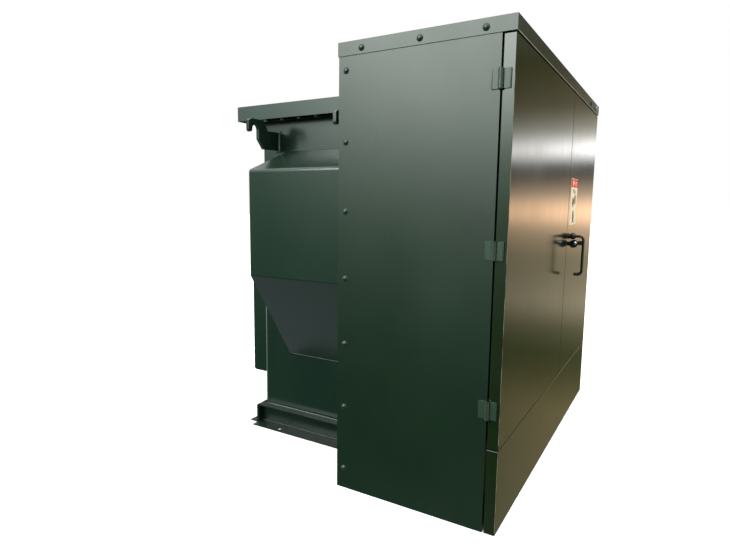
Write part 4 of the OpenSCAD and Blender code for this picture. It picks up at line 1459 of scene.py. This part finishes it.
class FrontFittings:
    """What the workshop adds to the fittings on the tank's front."""

    # half of the tank's width, from which the fittings are set out
    HALF = 0.495

    def build(self) -> None:
        """Adds the bolts, the gauge faces and the door seals."""
        left, right = -self.HALF, self.HALF
        for row in range(2):
            for k in range(3):
                x = left + 0.115 + (k + row / 2) * self.pitch()
                BoltRing(f"bushing_bolts_{row}_{k}", (x, 0.70 + 0.19 * row), 0.0515, 0.012).make()
        for k in range(3):
            BoltRing(
                f"fuse_bolts_{k}", (left + 0.095 + 0.11 * k, 1.10), 0.031, 0.010, 4, 3.2 * MM
            ).make()
        BoltRing("tap_bolts", (left + 0.11, 1.27), 0.042, 0.004, 6, 3.5 * MM).make()
        BoltRing("switch_bolts", (left + 0.27, 1.27), 0.050, 0.004, 6, 3.5 * MM).make()
        GaugeFace("level_gauge", right - 0.23, 1.33, marks=11).make()
        GaugeFace("thermometer", right - 0.09, 1.33).make()
        for door in ("left_door", "right_door"):
            DoorSeal(door).make()

    @staticmethod
    def pitch() -> float:
        """Distance between the high-voltage bushings, from their flanges' span."""
        low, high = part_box("hv_bushings")
        return (high[0] - low[0] - 0.116) / 2.5


# ---- studio ---------------------------------------------------------------------------------


@dataclass
class Softbox:
    """One rectangular studio light.

    Attributes:
        name: its name.
        place: where it stands.
        target: what it points at.
        size: its width and height.
        power: its power in watts.
        colour: its colour.
        sheen_only: whether it only makes highlights.
    """

    name: str
    place: tuple[float, float, float]
    target: tuple[float, float, float]
    size: tuple[float, float]
    power: float
    colour: Colour = (1.0, 1.0, 1.0)
    sheen_only: bool = False

    def make(self) -> None:
        """Sets the light up, unseen by the camera itself."""
        lamp = bpy.data.lights.new(self.name, "AREA")
        lamp.shape = "RECTANGLE"
        lamp.size, lamp.size_y = self.size
        lamp.energy = self.power
        lamp.color = self.colour
        obj = bpy.data.objects.new(self.name, lamp)
        obj.location = self.place
        aim = Vector(self.target) - Vector(self.place)
        obj.rotation_euler = aim.to_track_quat("-Z", "Y").to_euler()
        obj.visible_camera = False
        obj.visible_diffuse = not self.sheen_only
        bpy.context.scene.collection.objects.link(obj)


class Side(Enum):
    """The parts of the surroundings, with the light that each sends at each elevation."""

    RIGHT = (
        (-90, (0.42, 0.42, 0.42)),
        (-38, (0.27, 0.25, 0.16)),
        (-20, (0.30, 0.25, 0.12)),
        (-17, (0.16, 0.14, 0.06)),
        (-14.5, (0.09, 0.10, 0.035)),
        (-12, (0.22, 0.20, 0.11)),
        (-9.5, (0.62, 0.53, 0.35)),
        (-7, (0.50, 0.42, 0.27)),
        (-5, (0.47, 0.39, 0.24)),
        (-2.2, (1.00, 0.72, 0.46)),
        (-0.4, (3.3, 2.1, 1.25)),
        (1.4, (0.95, 0.70, 0.50)),
        (3.2, (0.08, 0.08, 0.07)),
        (4.4, (0.25, 0.25, 0.23)),
        (5.6, (3.5, 3.45, 3.35)),
        (7.2, (0.75, 0.72, 0.60)),
        (9.5, (0.22, 0.18, 0.105)),
        (14, (0.095, 0.088, 0.036)),
        (45, (0.9, 0.95, 0.95)),
        (90, (2.6, 2.6, 2.6)),
    )
    FRONT = (
        (-90, (0.3, 0.3, 0.3)),
        (-30, (0.55, 0.50, 0.42)),
        (-12, (1.15, 1.03, 0.86)),
        (0, (1.7, 1.5, 1.25)),
        (12, (1.3, 1.2, 1.05)),
        (24, (1.2, 1.1, 1.0)),
        (45, (3.6, 3.4, 3.1)),
        (90, (2.6, 2.6, 2.6)),
    )
    BEHIND = (
        (-90, (0.40, 0.44, 0.50)),
        (-42, (0.30, 0.34, 0.36)),
        (-28, (0.55, 0.60, 0.56)),
        (-14, (1.10, 1.20, 1.12)),
        (0, (1.6, 1.75, 1.6)),
        (20, (1.3, 1.4, 1.3)),
        (50, (2.0, 2.1, 2.0)),
        (90, (2.6, 2.6, 2.6)),
    )
    LEFT = (
        (-90, (0.40, 0.44, 0.50)),
        (-42, (0.30, 0.34, 0.36)),
        (-27, (0.012, 0.02, 0.012)),
        (-14, (0.020, 0.045, 0.026)),
        (-4, (0.11, 0.21, 0.15)),
        (8, (0.46, 0.66, 0.56)),
        (30, (1.1, 1.25, 1.17)),
        (90, (2.6, 2.6, 2.6)),
    )
    WINDOW = (
        (-90, (0.0, 0.0, 0.0)),
        (-13, (0.0, 0.0, 0.0)),
        (-2, (0.32, 0.42, 0.33)),
        (5, (1.10, 1.35, 1.15)),
        (10, (5.2, 5.9, 5.4)),
        (16, (10.0, 10.6, 10.1)),
        (25, (10.0, 10.6, 10.1)),
        (38, (0.4, 0.4, 0.4)),
        (90, (0.0, 0.0, 0.0)),
    )


@dataclass
class Sky:
    """Soft surroundings that the enamel mirrors, white to the eye itself.

    Attributes:
        brightest: the light that a ramp's white stands for.
        window: compass direction of the window's middle, in degrees from -X towards +Y.
        reach: cosines of the angles from there at which the window fades out and is full.
    """

    brightest: float = 11.0
    window: float = 19.0
    reach: tuple[float, float] = (0.91, 0.985)

    def __post_init__(self) -> None:
        """Starts the world and finds the parts of the direction that light comes from."""
        world = bpy.data.worlds.new("studio_sky")
        world.use_nodes = True
        bpy.context.scene.world = world
        self.tree = world.node_tree
        coords = self.tree.nodes.new("ShaderNodeTexCoord")
        split = self.tree.nodes.new("ShaderNodeSeparateXYZ")
        self.tree.links.new(coords.outputs["Generated"], split.inputs[0])
        self.x, self.y, self.z = (split.outputs[k] for k in range(3))

    def math(
        self, how: str, first: bpy.types.NodeSocket, second: bpy.types.NodeSocket | float = 0.0
    ) -> bpy.types.NodeSocket:
        """Arithmetic on two values."""
        node = self.tree.nodes.new("ShaderNodeMath")
        node.operation = how
        self.tree.links.new(first, node.inputs[0])
        if isinstance(second, float):
            node.inputs[1].default_value = second
        else:
            self.tree.links.new(second, node.inputs[1])
        return node.outputs[0]

    def span(self, value: bpy.types.NodeSocket, low: float, high: float) -> bpy.types.NodeSocket:
        """Maps low..high to 0..1 with soft ends."""
        node = self.tree.nodes.new("ShaderNodeMapRange")
        node.interpolation_type = "SMOOTHSTEP"
        node.inputs["From Min"].default_value = low
        node.inputs["From Max"].default_value = high
        self.tree.links.new(value, node.inputs["Value"])
        return node.outputs["Result"]

    def ramp(self, elevation: bpy.types.NodeSocket, side: Side) -> bpy.types.NodeSocket:
        """The light of one side at an elevation between 0 and 1."""
        node = self.tree.nodes.new("ShaderNodeValToRGB")
        band = node.color_ramp
        while len(band.elements) < len(side.value):
            band.elements.new(1.0)
        for element, (degrees, light) in zip(band.elements, side.value):
            element.position = (degrees + 90) / 180
            element.color = (*(c / self.brightest for c in light), 1.0)
        self.tree.links.new(elevation, node.inputs["Fac"])
        return node.outputs["Color"]

    def mix(
        self,
        first: bpy.types.NodeSocket,
        second: bpy.types.NodeSocket,
        share: bpy.types.NodeSocket,
        mode: str = "MIX",
    ) -> bpy.types.NodeSocket:
        """Blends two lights."""
        node = self.tree.nodes.new("ShaderNodeMix")
        node.data_type = "RGBA"
        node.blend_type = mode
        node.clamp_result = False
        for source, target in ((share, 0), (first, 6), (second, 7)):
            self.tree.links.new(source, node.inputs[target])
        return node.outputs[2]

    def build(self) -> None:
        """Joins the sides and the window into the world's light."""
        nodes, links = self.tree.nodes, self.tree.links
        arc = self.math("ARCSINE", self.z)
        elevation = self.math("ADD", self.math("DIVIDE", arc, math.pi), 0.5)
        level = self.math(
            "SQRT", self.math("ADD", self.math("POWER", self.x, 2.0), self.math("POWER", self.y, 2.0))
        )
        level = self.math("MAXIMUM", level, 0.001)
        across = self.math("DIVIDE", self.x, level)
        along = self.math("DIVIDE", self.y, level)
        turn = math.radians(self.window)
        towards = self.math(
            "ADD",
            self.math("MULTIPLY", across, -math.cos(turn)),
            self.math("MULTIPLY", along, math.sin(turn)),
        )
        hall = self.math(
            "SUBTRACT", self.math("MULTIPLY", across, 0.82), self.math("MULTIPLY", along, 0.57)
        )
        sides = self.mix(
            self.ramp(elevation, Side.LEFT),
            self.ramp(elevation, Side.RIGHT),
            self.span(hall, -0.15, 0.40),
        )
        ahead = self.math("MULTIPLY", along, -1.0)
        sides = self.mix(
            sides, self.ramp(elevation, Side.FRONT), self.span(ahead, 0.80, 0.95)
        )
        sides = self.mix(
            sides, self.ramp(elevation, Side.BEHIND), self.span(along, 0.84, 0.96)
        )
        lit = self.mix(
            sides, self.ramp(elevation, Side.WINDOW), self.span(towards, *self.reach), "ADD"
        )
        plain = nodes["Background"]
        plain.inputs["Strength"].default_value = self.brightest
        links.new(lit, plain.inputs["Color"])
        seen = nodes.new("ShaderNodeBackground")
        seen.inputs["Color"].default_value = (1.0, 1.0, 1.0, 1.0)
        path = nodes.new("ShaderNodeLightPath")
        blend = nodes.new("ShaderNodeMixShader")
        links.new(path.outputs["Is Camera Ray"], blend.inputs[0])
        links.new(plain.outputs[0], blend.inputs[1])
        links.new(seen.outputs[0], blend.inputs[2])
        links.new(blend.outputs[0], nodes["World Output"].inputs["Surface"])


@dataclass
class Studio:
    """Camera, floor, sky and lights.

    Attributes:
        eye: the camera's place.
        yaw: degrees from +Y towards +X.
        pitch: degrees below the horizon.
        roll: degrees that the camera leans.
        lens: focal length on a 36 mm sensor.
        lights: the softboxes.
    """

    eye: tuple[float, float, float] = (-2.450, -1.3995, 1.068)
    yaw: float = 59.35
    pitch: float = 7.30
    roll: float = 0.68
    lens: float = 26.34
    lights: list[Softbox] = field(
        default_factory=lambda: [
            Softbox("top_light", (-1.5, -0.5, 6.0), (0, -0.2, 0.8), (6.0, 6.0), 120),
            Softbox("edge_light", (-4.5, 2.6, 4.6), (-0.6, 0, 1), (1.6, 0.5), 110, sheen_only=True),
        ]
    )

    def set_camera(self) -> None:
        """Places the camera and makes it the scene's."""
        yaw, pitch, roll = (math.radians(a) for a in (self.yaw, self.pitch, self.roll))
        ahead = Vector(
            (math.sin(yaw) * math.cos(pitch), math.cos(yaw) * math.cos(pitch), -math.sin(pitch))
        )
        level = Vector((math.cos(yaw), -math.sin(yaw), 0.0))
        rise = level.cross(ahead)
        right = level * math.cos(roll) + rise * math.sin(roll)
        up = rise * math.cos(roll) - level * math.sin(roll)
        camera = bpy.data.cameras.new("camera")
        camera.sensor_width = 36.0
        camera.lens = self.lens
        obj = bpy.data.objects.new("camera", camera)
        turn = Matrix((right, up, -ahead)).transposed()
        obj.matrix_world = Matrix.Translation(self.eye) @ turn.to_4x4()
        bpy.context.scene.collection.objects.link(obj)
        bpy.context.scene.camera = obj

    def lay_floor(self) -> None:
        """Lays a wide pale floor, which the enamel does not mirror."""
        deselect_all()
        bpy.ops.mesh.primitive_plane_add(size=80.0)
        floor = bpy.context.active_object
        floor.name = "studio_floor"
        g = Graph("studio_floor_paint")
        tone = g.ramp(g.noise(0.6, 2, 0.4), [(0.3, (0.88,) * 3), (0.7, (0.90,) * 3)])
        g.link(tone, g.shader.inputs["Base Color"])
        g.shader.inputs["Roughness"].default_value = 0.9
        g.shader.inputs["Specular IOR Level"].default_value = 0.0
        g.shader.inputs["Emission Color"].default_value = (1.0, 1.0, 1.0, 1.0)
        g.shader.inputs["Emission Strength"].default_value = 0.3
        floor.data.materials.append(g.material)
        floor.visible_glossy = False
        floor.visible_diffuse = False

    def build(self) -> None:
        """Sets the whole studio up."""
        self.set_camera()
        self.lay_floor()
        Sky().build()
        for light in self.lights:
            light.make()
        bpy.context.scene.view_settings.view_transform = "Standard"


def main() -> None:
    """Builds every sub-assembly around the frame."""
    logging.basicConfig(level=logging.INFO, format="%(name)s: %(message)s")
    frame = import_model()
    deselect_all()
    nodes = frame["nodes"]
    Studio().build()
    for formed in FORMED:
        formed.make(nodes)
    for name, finish in KEPT.items():
        finish.put_on(nodes[name])
    DoorLabel().build()
    HandleTrim().make()
    PaintedHighlightEdges().build()
    HingeRims().build()
    RoofScrews().build()
    FrontFittings().build()
    TankWelds().build()


if __name__ == "__main__":
    main()
